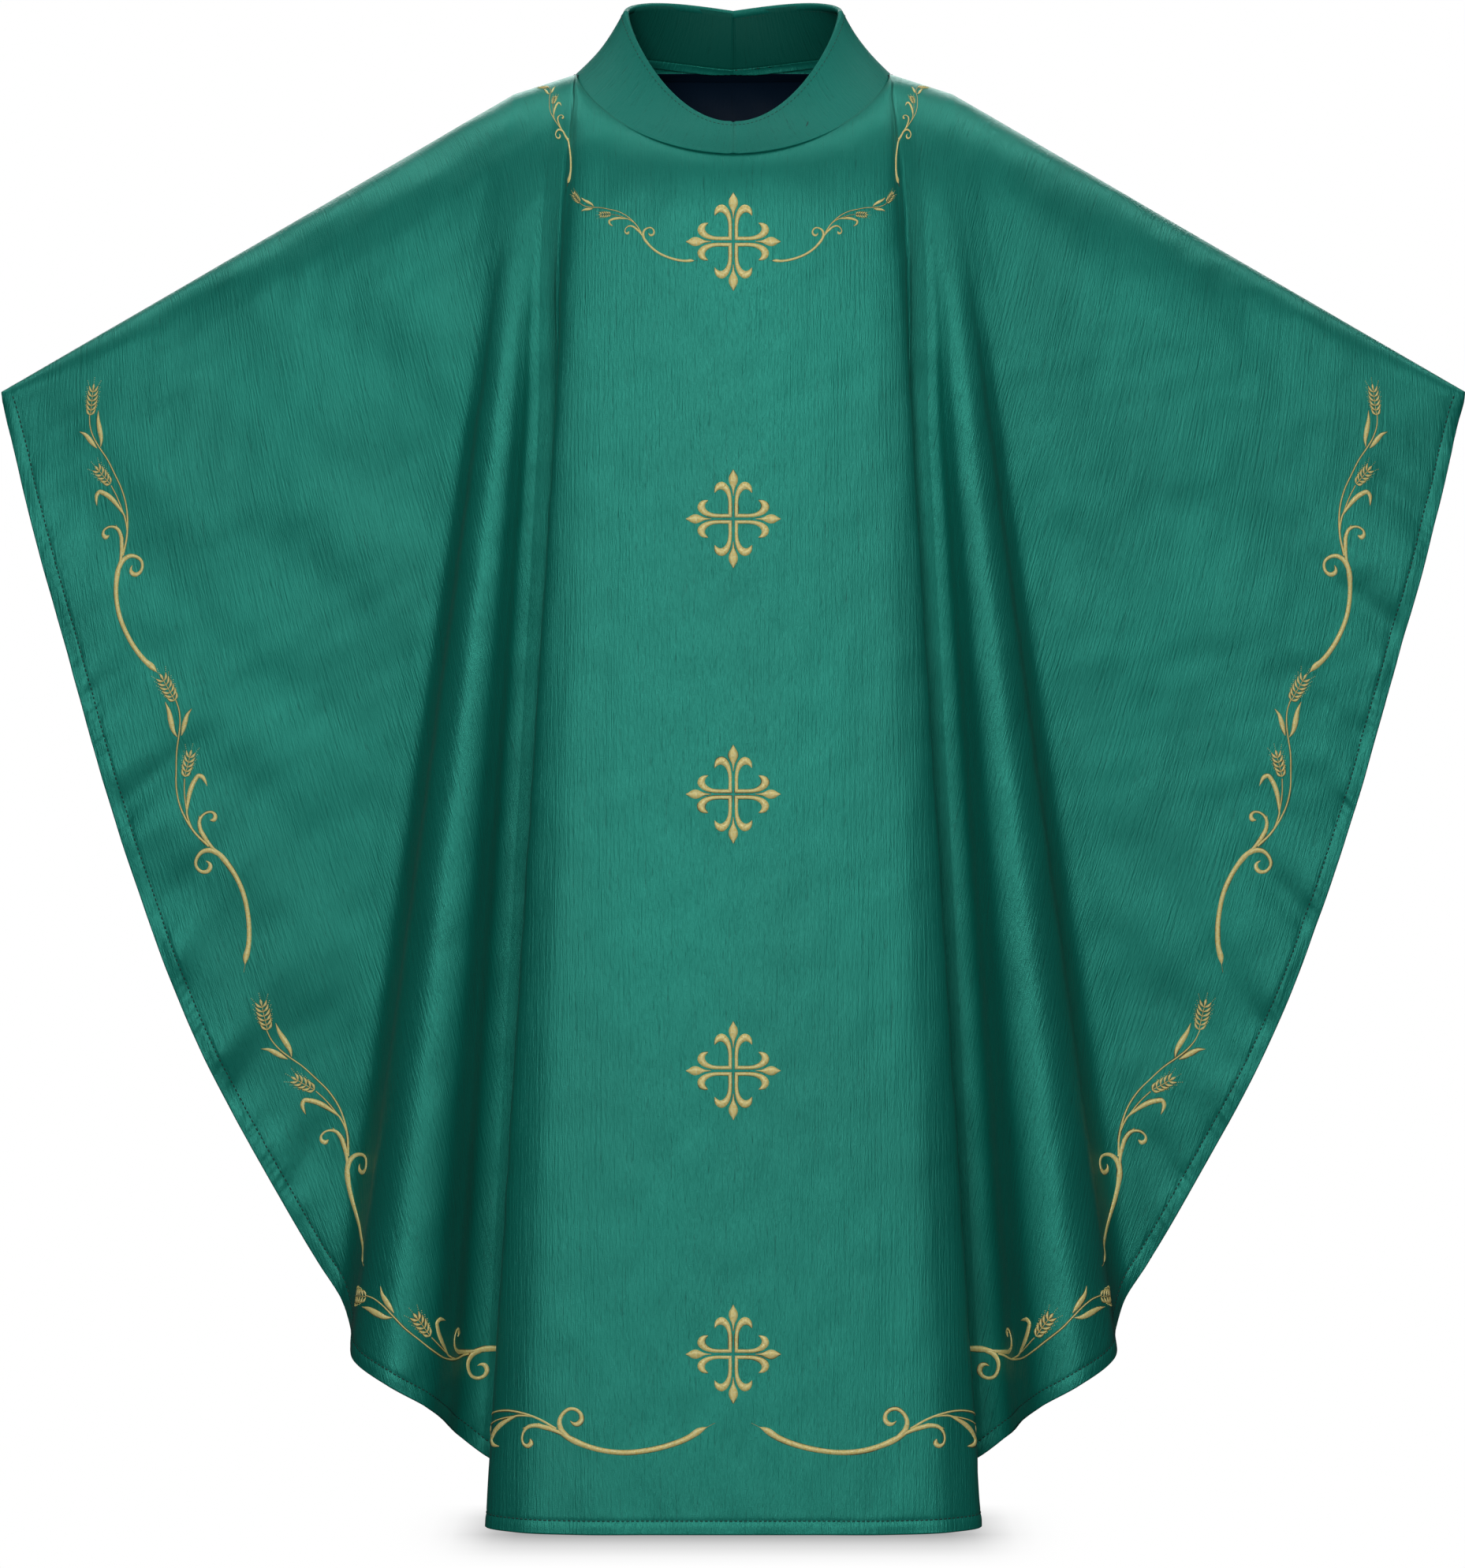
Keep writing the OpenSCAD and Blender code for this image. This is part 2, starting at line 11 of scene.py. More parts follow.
import bpy
import numpy as np
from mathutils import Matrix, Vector

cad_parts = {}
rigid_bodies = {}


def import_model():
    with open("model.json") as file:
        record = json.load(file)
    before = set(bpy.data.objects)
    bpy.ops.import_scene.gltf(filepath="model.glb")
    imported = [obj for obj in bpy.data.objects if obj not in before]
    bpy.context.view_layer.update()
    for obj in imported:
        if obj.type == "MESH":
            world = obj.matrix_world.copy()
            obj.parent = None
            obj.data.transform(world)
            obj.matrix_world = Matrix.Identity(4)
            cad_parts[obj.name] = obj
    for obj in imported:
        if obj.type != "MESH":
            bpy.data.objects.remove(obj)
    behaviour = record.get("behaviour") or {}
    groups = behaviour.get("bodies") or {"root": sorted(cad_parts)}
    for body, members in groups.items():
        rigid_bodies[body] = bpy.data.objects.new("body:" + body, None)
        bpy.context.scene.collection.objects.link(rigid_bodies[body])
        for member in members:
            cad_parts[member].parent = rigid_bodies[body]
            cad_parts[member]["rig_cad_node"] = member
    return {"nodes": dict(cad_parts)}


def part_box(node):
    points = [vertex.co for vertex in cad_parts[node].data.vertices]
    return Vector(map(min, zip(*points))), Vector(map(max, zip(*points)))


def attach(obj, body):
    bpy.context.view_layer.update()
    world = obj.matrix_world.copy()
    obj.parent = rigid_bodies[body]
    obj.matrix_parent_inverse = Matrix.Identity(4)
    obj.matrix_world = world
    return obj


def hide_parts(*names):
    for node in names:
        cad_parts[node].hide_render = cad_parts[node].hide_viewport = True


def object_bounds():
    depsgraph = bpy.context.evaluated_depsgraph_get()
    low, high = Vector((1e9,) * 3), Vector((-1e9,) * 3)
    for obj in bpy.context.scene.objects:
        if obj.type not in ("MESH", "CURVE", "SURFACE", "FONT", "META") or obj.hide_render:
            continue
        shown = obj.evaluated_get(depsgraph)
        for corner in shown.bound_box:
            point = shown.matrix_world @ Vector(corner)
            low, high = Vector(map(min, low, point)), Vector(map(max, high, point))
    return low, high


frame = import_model()
CAD_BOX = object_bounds()
MM = 0.001

# ---------------------------------------------------------------------------
# Driving sizes, taken from the frame
# ---------------------------------------------------------------------------

panel_low, panel_high = (np.array(c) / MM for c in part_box("front_panel"))
HALF_SPAN = panel_high[0]
DROP = -panel_low[2]
NECK_HALF = 141.0
NECK_FRONT = 115.0
NECK_BACK = 100.0
NECK_DIP = 73.6
WRIST_DROP = 282.0
CLOTH = 1.6
HEM_WIDTH = 12.0
BACK_FOLD_DEPTH = 0.92

# ---------------------------------------------------------------------------
# The hanging cloth
# ---------------------------------------------------------------------------

# One row for each fold line, as in the CAD model: where it meets the hem (distance from the
# centre line, distance in front of the shoulders, drop), and where it starts, from 0 at the
# middle of the neck seam through 1 at the side of the neck to 2 at the wrist point.
ROWS = np.array([
    [0, 165, 1305, 0], [75, 164, 1305, 0.22], [140, 160, 1305, 0.44], [195, 149, 1303, 0.69],
    [222, 124, 1299, 0.93], [206, 90, 1290, 1.006], [181, 56, 1272, 1.014],
    [196, 28, 1254, 1.022], [225, 24, 1237, 1.03], [245, 33, 1221, 1.038],
    [258, 64, 1206, 1.046], [276, 95, 1192, 1.056], [309, 104, 1174, 1.066],
    [342, 77, 1150, 1.076], [344, 38, 1124, 1.088], [353, 15, 1098, 1.1],
    [375, 10, 1063, 1.125], [410, 14, 1003, 1.18], [483, 22, 866, 1.33],
    [547, 24, 696, 1.5], [597, 22, 525, 1.68], [643, 12, 355, 1.9],
    [HALF_SPAN - 1, 4, WRIST_DROP + 9, 2],
], float)
ROWS[:-1, 0] *= HALF_SPAN / 659
ROWS[:-1, 2] *= DROP / 1305
LAST = len(ROWS) - 1
GAPS = np.linalg.norm(np.diff(ROWS[:, :3], axis=0), axis=1)
SLOPES = np.diff(ROWS, axis=0) / GAPS[:, None]
INNER = (SLOPES[1:] * GAPS[:-1, None] + SLOPES[:-1] * GAPS[1:, None]) / (
    GAPS[:-1] + GAPS[1:]
)[:, None]
LEVEL = SLOPES[0] * [1, 0, 0, 1]
TANGENTS = np.vstack([LEVEL, INNER, SLOPES[-1]])

SHOULDER_END = np.array([197 * HALF_SPAN / 659, 0, -14.0])
WRIST_POINT = np.array([HALF_SPAN, 0, -WRIST_DROP])
SIDE_NECK = np.array([NECK_HALF, 0, 4.0])


def row_at(u):
    """A smooth curve through the rows, where u counts rows from the centre line."""
    i = np.clip(np.floor(u).astype(int), 0, LAST - 1)
    f = (u - i)[..., None]
    g = GAPS[i][..., None]
    r = (
        (2 * f**3 - 3 * f**2 + 1) * ROWS[i]
        + (f**3 - 2 * f**2 + f) * g * TANGENTS[i]
        + (3 * f**2 - 2 * f**3) * ROWS[i + 1]
        + (f**3 - f**2) * g * TANGENTS[i + 1]
    )
    # the start runs straight from row to row, so that it never turns back
    r[..., 3] = ROWS[i, 3] + f[..., 0] * (ROWS[i + 1, 3] - ROWS[i, 3])
    return r


def neck_seam(angle, back):
    """The neck seam from its middle, angle in radians, with its distance from the shoulders."""
    s, c = np.sin(angle), np.maximum(np.cos(angle), 0)
    if back:
        return np.stack([NECK_HALF * s, NECK_BACK * c, 4 + 5 * c], -1)
    return np.stack([NECK_HALF * s, NECK_FRONT * c, 4 - NECK_DIP * c**1.4], -1)


def start_at(t, back):
    """Where a fold line starts: on the neck seam, then along the shoulder and arm."""
    neck = neck_seam(np.pi / 2 * np.clip(t, 0, 1), back)
    shoulder = np.linalg.norm(SHOULDER_END - SIDE_NECK)
    arm = np.linalg.norm(WRIST_POINT - SHOULDER_END)
    d = np.clip(t - 1, 0, 1) * (shoulder + arm)
    on_shoulder = np.clip(d / shoulder, 0, 1)[..., None]
    on_arm = np.clip((d - shoulder) / arm, 0, 1)[..., None]
    ridge = SIDE_NECK + (SHOULDER_END - SIDE_NECK) * on_shoulder
    ridge = ridge + (WRIST_POINT - SHOULDER_END) * on_arm
    return np.where((t < 1)[..., None], neck, ridge)


def turned(x):
    return 2 * np.arctan(np.tanh(x / 2))


def dropped(x):
    return x + np.log((1 + np.exp(-2 * x)) / 2)


def undropped(y):
    return y + np.log(1 + np.sqrt(np.maximum(0, 1 - np.exp(-2 * y))))


def fold_line(u, back):
    """A fold line: its start, hem point, bend radius, lead into the bend, run and length."""
    r = row_at(u)
    t = np.maximum(r[..., 3], 0)
    top = start_at(t, back)
    deep = BACK_FOLD_DEPTH if back else 1.0
    hem = np.stack([r[..., 0], r[..., 1] * deep, -r[..., 2]], -1)
    near, far = np.clip(t, 0, 1), np.clip(2 - t, 0, 1)
    bend = np.where(t < 1, 30 + 45 * near**2, 8 + 67 * far**1.3)
    lead = np.where(t < 1, (0.5 if back else 0.9) * np.cos(np.pi / 2 * near) ** 2, 0)
    run = np.hypot(hem[..., 0] - top[..., 0], hem[..., 2] - top[..., 2])
    length = bend * (undropped(run / bend + dropped(lead)) - lead)
    return top, hem, bend, lead, run, length


FOLDED_FROM, FOLDED_TO = 4, 16


def unfolding(u, back):
    """How far each hem point would move if the cloth between the folds hung flat."""
    s = (np.clip(row_at(u)[..., 3], 0, 2) - ROWS[FOLDED_FROM, 3]) / (
        ROWS[FOLDED_TO, 3] - ROWS[FOLDED_FROM, 3]
    )
    ends = ROWS[[FOLDED_FROM, FOLDED_TO], :3] * [1, BACK_FOLD_DEPTH if back else 1, -1]
    plain_hem = ends[0] + (ends[1] - ends[0]) * np.clip(s, 0, 1)[..., None]
    hem = fold_line(u, back)[1]
    inside = (u > FOLDED_FROM) & (u < FOLDED_TO)
    return np.where(inside[..., None], plain_hem - hem, 0)


def smooth_cloth(u, v, back, gathered=True):
    """A point of the cloth without its small dents, v from 0 at the top to 1 at the hem.

    The folds fade out towards the shoulder unless gathered is false."""
    top, hem, bend, lead, run, length = fold_line(u, back)
    e = v * length / bend + lead
    share = bend * (dropped(e) - dropped(lead)) / run
    out = bend * (turned(e) - turned(lead))
    all_out = bend * (turned(length / bend + lead) - turned(lead))
    depth = top[..., 1] + out + (hem[..., 1] - all_out - top[..., 1]) * share
    x = top[..., 0] + (hem[..., 0] - top[..., 0]) * share
    z = top[..., 2] + (hem[..., 2] - top[..., 2]) * share
    p = np.stack([x, depth, z], -1)
    if gathered:
        fade = np.clip((v * length - 80) / 300, 0, 1)
        fade = 1 - fade**2 * (3 - 2 * fade)
        p = p + unfolding(u, back) * (share * fade)[..., None]
    p[..., 1] *= 1 if back else -1
    return p


def unit(a):
    return a / np.maximum(np.linalg.norm(a, axis=-1, keepdims=True), 1e-9)


def cloth_normal(u, v, back):
    """The outward normal of the smooth cloth."""
    u0, u1 = np.maximum(u - 0.02, 0), np.minimum(u + 0.02, LAST)
    v0, v1 = np.maximum(v - 0.002, 0), np.minimum(v + 0.002, 1)
    across = smooth_cloth(u1, v, back) - smooth_cloth(u0, v, back)
    down = smooth_cloth(u, v1, back) - smooth_cloth(u, v0, back)
    return unit(np.cross(across, down)) * (1 if back else -1)


class Pattern:
    """The flat pattern of one half of a panel: x from the centre line, z upwards."""

    def __init__(self, back, steps=16):
        self.back = back
        self.u = np.linspace(0, LAST, LAST * steps + 1)
        line = fold_line(self.u, back)
        zero = np.zeros_like(self.u)
        top, upper, lower, hem = (
            smooth_cloth(self.u, zero + v, back, gathered=False) for v in (0, 0.001, 0.999, 1)
        )
        down_top, down_hem = unit(upper - top), unit(hem - lower)
        self.length = line[5]
        across_top, across_hem = np.diff(top, axis=0), np.diff(hem, axis=0)
        d0, d1 = unit(down_top[1:] + down_top[:-1]), unit(down_hem[1:] + down_hem[:-1])
        along = (across_hem * d1).sum(1)
        wide_top = np.linalg.norm(
            across_top - (across_top * d0).sum(1)[:, None] * d0, axis=1
        )
        wide_hem = np.linalg.norm(across_hem - along[:, None] * d1, axis=1)
        mean = (self.length[1:] + self.length[:-1]) / 2
        step = (wide_hem - wide_top) / mean
        self.turn = np.concatenate([[0], np.cumsum(step)])
        mid = self.turn[:-1] + step / 2
        shift = along - np.diff(self.length)
        move = shift[:, None] * np.stack([np.sin(mid), -np.cos(mid)], -1)
        move = move + wide_top[:, None] * np.stack([np.cos(mid), np.sin(mid)], -1)
        start = np.array([0, self.length[0] - fold_line(np.zeros(1), False)[5][0]])
        self.place = start + np.vstack([[0, 0], np.cumsum(move, axis=0)])
        down = np.stack([np.sin(self.turn), -np.cos(self.turn)], -1)
        edge = unit(np.gradient(self.place + self.length[:, None] * down, axis=0))
        # how far a step up a fold line goes along the hem, and how far away from it
        self.slip = (down * edge).sum(1)
        self.square = np.maximum(0.25, np.abs(down[:, 0] * edge[:, 1] - down[:, 1] * edge[:, 0]))

    def at(self, u):
        place = np.stack([np.interp(u, self.u, self.place[:, k]) for k in (0, 1)], -1)
        return place, np.interp(u, self.u, self.turn), np.interp(u, self.u, self.length)

    def flat(self, u, v):
        """Flat coordinates of a place on the cloth."""
        place, turn, length = self.at(u)
        down = np.stack([np.sin(turn), -np.cos(turn)], -1)
        return place + (v * length)[..., None] * down

    def on_cloth(self, p):
        """The place on the cloth, (u, v), of flat points."""
        out = np.stack([np.cos(self.turn), np.sin(self.turn)], -1)
        u = np.empty(len(p))
        for first in range(0, len(p), 4000):
            part = p[first:first + 4000]
            s = ((part[:, None, :] - self.place[None]) * out[None]).sum(-1)
            i = np.clip(np.argmax(s < 0, axis=1) - 1, 0, len(self.u) - 2)
            k = np.arange(len(part))
            f = s[k, i] / (s[k, i] - s[k, i + 1])
            u[first:first + 4000] = self.u[i] + f * (self.u[i + 1] - self.u[i])
        u = np.clip(u, 0, LAST)
        place, turn, length = self.at(u)
        down = np.stack([np.sin(turn), -np.cos(turn)], -1)
        return u, np.clip(((p - place) * down).sum(-1) / length, 0, 1)


PATTERNS = {False: Pattern(False), True: Pattern(True)}


# ---------------------------------------------------------------------------
# Small shapes in the cloth: dents, puckers, the turned hem
# ---------------------------------------------------------------------------

def waves(x, z, seed, count, longest, shortest):
    """Soft random relief: a sum of waves between two wavelengths, about -1 to 1."""
    r = np.random.default_rng(seed)
    total = np.zeros_like(x)
    for _ in range(count):
        size = math.exp(r.uniform(math.log(shortest), math.log(longest)))
        angle, phase = r.uniform(0, math.pi), r.uniform(0, 2 * math.pi)
        k = 2 * math.pi / size
        total += np.sin(k * (x * math.cos(angle) + z * math.sin(angle)) + phase)
    return total / math.sqrt(count)


def relief(u, v, side, back):
    """How far the cloth stands out from its smooth shape, in millimetres."""
    pattern = PATTERNS[back]
    flat = pattern.flat(u, v)
    x, z = flat[..., 0] * side, flat[..., 1]
    length = pattern.at(u)[2]
    up_line = (1 - v) * length
    from_hem = up_line * np.interp(u, pattern.u, pattern.square)
    from_top = v * length
    seed = 11 if back else 3
    wing = np.clip((u - 14.5) / 3, 0, 1)
    top_fade = np.clip(from_top / 40, 0, 1)
    h = wing * top_fade * 1.6 * waves(x, z, seed, 9, 260, 90)
    h += top_fade * 0.35 * waves(x, z, seed + 1, 12, 70, 28)
    # creases that run in from the side hem and fade out
    slip = up_line * np.interp(u, pattern.u, pattern.slip)
    along_hem = np.interp(u, pattern.u, HEM_ARC[back]) - slip + 5000 * side
    drag = waves(along_hem - 0.35 * from_hem, 0.12 * from_hem, seed + 4, 7, 150, 45)
    drag = drag - 0.9 * np.maximum(0, -drag - 0.5)
    h += wing * top_fade * 2.1 * drag * np.exp(-from_hem / 75) * np.clip(from_hem / 14, 0.3, 1)
    # the turned hem: puckered where its edge is curved, and drawn in along the stitches
    curved = 0.25 + 0.75 * np.clip((u - 13) / 3, 0, 1)
    unevenness = waves(along_hem, 0 * along_hem, seed + 2, 6, 60, 18)
    swell = 0.6 + 0.5 * waves(along_hem, 0 * along_hem, seed + 3, 5, 300, 90)
    swell = np.clip(swell, 0.1, 1.3)
    ripple = np.sin(2 * math.pi * (along_hem - 0.4 * from_hem) / 9 + 2.6 * unevenness)
    band = np.exp(-(((from_hem - HEM_WIDTH * 0.6) / (HEM_WIDTH * 0.75)) ** 2))
    room = np.clip(length / 60, 0, 1)
    h += curved * swell * band * room * 0.5 * ripple
    h -= 0.55 * np.exp(-(((from_hem - HEM_WIDTH) / 1.7) ** 2)) * room
    h += 0.25 * np.exp(-(((from_hem - HEM_WIDTH * 0.5) / 3.5) ** 2)) * room
    return h


def hem_arc(back):
    p = PATTERNS[back]
    hem = smooth_cloth(p.u, np.ones_like(p.u), back)
    return np.concatenate([[0], np.cumsum(np.linalg.norm(np.diff(hem, axis=0), axis=1))])


HEM_ARC = {back: hem_arc(back) for back in (False, True)}


def raised(u, v, h, side, back):
    """A point h above the real cloth, on the left (-1) or right (1) half."""
    p = smooth_cloth(u, v, back)
    n = cloth_normal(u, v, back)
    p = p + n * (h + relief(u, v, side, back))[..., None]
    p[..., 0] *= side
    return p


# ---------------------------------------------------------------------------
# Mesh helpers
# ---------------------------------------------------------------------------

def make_object(name, points, faces, materials, uv=None, face_material=None):
    """A mesh object from points in millimetres and faces of one size."""
    mesh = bpy.data.meshes.new(name)
    points = np.asarray(points, float) * MM
    faces = np.asarray(faces, np.int32)
    sides = faces.shape[1]
    mesh.vertices.add(len(points))
    mesh.vertices.foreach_set("co", points.astype(np.float32).ravel())
    mesh.loops.add(faces.size)
    mesh.loops.foreach_set("vertex_index", faces.ravel())
    mesh.polygons.add(len(faces))
    mesh.polygons.foreach_set("loop_start", np.arange(0, faces.size, sides, dtype=np.int32))
    mesh.polygons.foreach_set("loop_total", np.full(len(faces), sides, np.int32))
    if face_material is not None:
        mesh.polygons.foreach_set("material_index", np.asarray(face_material, np.int32))
    mesh.update(calc_edges=True)
    if uv is not None:
        layer = mesh.uv_layers.new(name="UVMap")
        layer.data.foreach_set("uv", np.asarray(uv, np.float32)[faces.ravel()].ravel())
    mesh.polygons.foreach_set("use_smooth", np.full(len(faces), True))
    for m in materials:
        mesh.materials.append(m)
    mesh.validate()
    ob = bpy.data.objects.new(name, mesh)
    bpy.context.scene.collection.objects.link(ob)
    return ob


def grid_faces(rows, columns, offset=0):
    """Quads between the rows and columns of a grid of points, seen from its first side."""
    i, j = np.meshgrid(np.arange(rows - 1), np.arange(columns - 1), indexing="ij")
    a = i * columns + j
    b = a + 1
    return np.stack([a, b, b + columns, a + columns], -1).reshape(-1, 4) + offset


def skin(name, face, rear, uv, materials, edge_out=0.0):
    """A closed cloth from two grids of points, with a soft round edge between them."""
    rows, columns = face.shape[:2]
    count = rows * columns
    middle = (face + rear) / 2
    border = np.concatenate([
        np.arange(columns), np.arange(1, rows) * columns + columns - 1,
        (rows - 1) * columns + np.arange(columns - 2, -1, -1),
        np.arange(rows - 2, 0, -1) * columns,
    ])
    centre = middle.reshape(-1, 3)
    n = len(border)
    i, j = border // columns, border % columns
    inward = np.clip(i, 1, rows - 2) * columns + np.clip(j, 1, columns - 2)
    out = unit(centre[border] - centre[inward]) * edge_out
    rim = centre[border] + out
    points = np.concatenate([face.reshape(-1, 3), rear.reshape(-1, 3), rim])
    first = grid_faces(rows, columns)
    second = grid_faces(rows, columns, count)[:, ::-1]
    k = np.arange(n)
    nxt = (k + 1) % n
    rim_k, rim_n = 2 * count + k, 2 * count + nxt
    side_a = np.stack([border[nxt], border[k], rim_k, rim_n], -1)
    side_b = np.stack([rim_n, rim_k, border[k] + count, border[nxt] + count], -1)
    faces = np.concatenate([first, second, side_a, side_b])
    index = np.concatenate([
        np.zeros(len(first)), np.ones(len(second)), np.zeros(len(side_a) + len(side_b)),
    ])
    flat_uv = uv.reshape(-1, 2)
    all_uv = np.concatenate([flat_uv, flat_uv, flat_uv[border]]) * MM
    if len(materials) == 1:
        index[:] = 0
    return make_object(name, points, faces, materials, all_uv, index)


def smooth_path(points, spacing):
    """Points along a smooth curve through the given ones, about spacing apart."""
    p = np.asarray(points, float)
    gap = np.linalg.norm(np.diff(p[:, :2], axis=0), axis=1)
    slope = np.diff(p, axis=0) / gap[:, None]
    inner = (slope[1:] * gap[:-1, None] + slope[:-1] * gap[1:, None]) / (
        gap[:-1] + gap[1:]
    )[:, None]
    tangent = np.vstack([slope[0], inner, slope[-1]])
    parts = []
    for i, g in enumerate(gap):
        n = max(2, int(math.ceil(g / spacing)))
        f = np.linspace(0, 1, n, endpoint=False)[:, None]
        parts.append(
            (2 * f**3 - 3 * f**2 + 1) * p[i] + (f**3 - 2 * f**2 + f) * g * tangent[i]
            + (3 * f**2 - 2 * f**3) * p[i + 1] + (f**3 - f**2) * g * tangent[i + 1]
        )
    return np.vstack(parts + [p[-1:]])


# ---------------------------------------------------------------------------
# Materials
# ---------------------------------------------------------------------------

def new_material(name, **sockets):
    m = bpy.data.materials.new(name)
    m.use_nodes = True
    nodes = m.node_tree.nodes
    shader = nodes["Principled BSDF"]
    for key, value in sockets.items():
        shader.inputs[key.replace("_", " ")].default_value = value
    return m, m.node_tree, shader


def add_node(tree, kind, **settings):
    node = tree.nodes.new(kind)
    for key, value in settings.items():
        if key in node.inputs:
            node.inputs[key].default_value = value
        else:
            setattr(node, key, value)
    return node


def stretched_noise(tree, coordinate, per_metre, detail=3.0, roughness=0.55):
    """Noise over the flat cloth, with its own count of grains per metre each way."""
    mapping = add_node(tree, "ShaderNodeMapping")
    mapping.inputs["Scale"].default_value = (*per_metre, 1)
    tree.links.new(coordinate, mapping.inputs["Vector"])
    noise = add_node(tree, "ShaderNodeTexNoise", Scale=1.0, Detail=detail, Roughness=roughness)
    tree.links.new(mapping.outputs["Vector"], noise.inputs["Vector"])
    return noise.outputs["Fac"]


def ramp(tree, fac, stops):
    node = add_node(tree, "ShaderNodeValToRGB")
    tree.links.new(fac, node.inputs["Fac"])
    elements = node.color_ramp.elements
    while len(elements) < len(stops):
        elements.new(0.5)
    for element, (place, colour) in zip(elements, stops):
        element.position = place
        element.color = (*colour, 1)
    return node.outputs["Color"]


def mix_colours(tree, kind, fac, a, b):
    node = add_node(tree, "ShaderNodeMix", data_type="RGBA", blend_type=kind)
    if isinstance(fac, float):
        node.inputs[0].default_value = fac
    else:
        tree.links.new(fac, node.inputs[0])
    tree.links.new(a, node.inputs[6])
    tree.links.new(b, node.inputs[7])
    return node.outputs[2]


def add_values(tree, a, b, weight):
    node = add_node(tree, "ShaderNodeMath", operation="MULTIPLY_ADD")
    tree.links.new(b, node.inputs[0])
    node.inputs[1].default_value = weight
    tree.links.new(a, node.inputs[2])
    return node.outputs["Value"]


def bump(tree, height, shader, distance):
    node = add_node(tree, "ShaderNodeBump", Strength=1.0, Distance=distance)
    tree.links.new(height, node.inputs["Height"])
    tree.links.new(node.outputs["Normal"], shader.inputs["Normal"])


def cloth_material(name, colour, dark, ribs=1.0, **sockets):
    """A fine ribbed weave with irregular slubs along the grain."""
    m, tree, shader = new_material(name, **sockets)
    uv = add_node(tree, "ShaderNodeTexCoord").outputs["UV"]
    rib = stretched_noise(tree, uv, (440, 16), 2.0, 0.45)
    slub = stretched_noise(tree, uv, (1000, 110), 2.0, 0.6)
    grain = stretched_noise(tree, uv, (1500, 1300), 2.0, 0.6)
    broad = stretched_noise(tree, uv, (9, 4), 2.0, 0.5)
    height = add_values(tree, add_values(tree, rib, slub, 0.8), grain, 0.5)
    mean = 0.5 * (1 + 0.8 + 0.5)
    tint = ramp(tree, height, [(mean - 0.42, dark), (mean + 0.3, colour)])
    wide = ramp(tree, broad, [(0.3, (0.9, 0.9, 0.9)), (0.7, (1, 1, 1))])
    both = mix_colours(tree, "MULTIPLY", 1.0, tint, wide)
    tree.links.new(both, shader.inputs["Base Color"])
    rough = add_node(tree, "ShaderNodeMapRange")
    rough.inputs["To Min"].default_value = sockets["Roughness"] + 0.08
    rough.inputs["To Max"].default_value = sockets["Roughness"] - 0.08
    tree.links.new(slub, rough.inputs["Value"])
    tree.links.new(rough.outputs["Result"], shader.inputs["Roughness"])
    bump(tree, height, shader, 0.0005 * ribs)
    return m


def thread_material(name, stops, **sockets):
    """Satin stitch: fine threads laid across each stroke. UV runs along and across it."""
    m, tree, shader = new_material(name, **sockets)
    uv = add_node(tree, "ShaderNodeTexCoord").outputs["UV"]
    threads = stretched_noise(tree, uv, (2300, 260), 2.0, 0.5)
    patches = stretched_noise(tree, uv, (420, 420), 2.0, 0.6)
    height = add_values(tree, threads, patches, 0.5)
    tree.links.new(ramp(tree, height, stops), shader.inputs["Base Color"])
    bump(tree, height, shader, 0.0005)
    return m


EMERALD = cloth_material(
    "emerald_cloth", (0.006, 0.285, 0.215), (0.003, 0.170, 0.130),
    Metallic=0.48, Roughness=0.45, Specular_IOR_Level=0.5,
    Sheen_Weight=0.04, Sheen_Roughness=0.4, Sheen_Tint=(0.62, 0.85, 0.78, 1),
)
COLLAR = cloth_material(
    "collar_cloth", (0.005, 0.235, 0.180), (0.003, 0.140, 0.108),
    Metallic=0.25, Roughness=0.58, Specular_IOR_Level=0.3,
)
# painted shade: a near-black navy for the rear of the panels, standing in for the shade inside
# the garment
INSIDE_SHADE = cloth_material(
    "lining_cloth", (0.0008, 0.010, 0.026), (0.0004, 0.006, 0.016), 0.5,
    Roughness=0.6, Specular_IOR_Level=0.2,
)
# painted shade: the facing is a darker copy of the collar green, standing in for the shade
# inside the collar
FACING = cloth_material(
    "collar_facing_cloth", (0.002, 0.105, 0.078), (0.001, 0.068, 0.050),
    Roughness=0.6, Specular_IOR_Level=0.12,
)
# The ramp varies the gold thread's tone at random; its palest stop is also a painted glint,
# scattered by the noise.
GOLD = thread_material(
    "gold_thread",
    [(0.42, (0.72, 0.45, 0.07)), (0.66, (1.0, 0.80, 0.25)), (0.95, (1.0, 0.95, 0.52))],
    Metallic=0.12, Roughness=0.36, Specular_IOR_Level=0.7,
)
# painted shade: a near-black brown strip round every gold stroke, standing in for the shade at
# the edges of the raised thread
EDGE_SHADE = thread_material(
    "gold_edge_shade",
    [(0.3, (0.03, 0.020, 0.004)), (0.9, (0.12, 0.075, 0.016))],
    Roughness=0.6,
)
STITCH = thread_material(
    "stitch_thread", [(0.3, (0.004, 0.035, 0.027)), (0.9, (0.010, 0.075, 0.058))],
    Roughness=0.6,
)

# ---------------------------------------------------------------------------
# Panels
# ---------------------------------------------------------------------------

STEP = 2.7
DOWN_STEPS = 110
HEM_ROWS = np.array([30, 24, 19, 16, 14, 13, 12, 11, 10, 8, 6, 4, 2, 1, 0], float)


def half_columns(back):
    """u of the columns of one half, evenly spaced along the hem."""
    arc = HEM_ARC[back]
    n = int(arc[-1] / STEP)
    return np.interp(np.linspace(0, arc[-1], n + 1), arc, PATTERNS[back].u)


def hem_square(u, back):
    return np.interp(u, PATTERNS[back].u, PATTERNS[back].square)


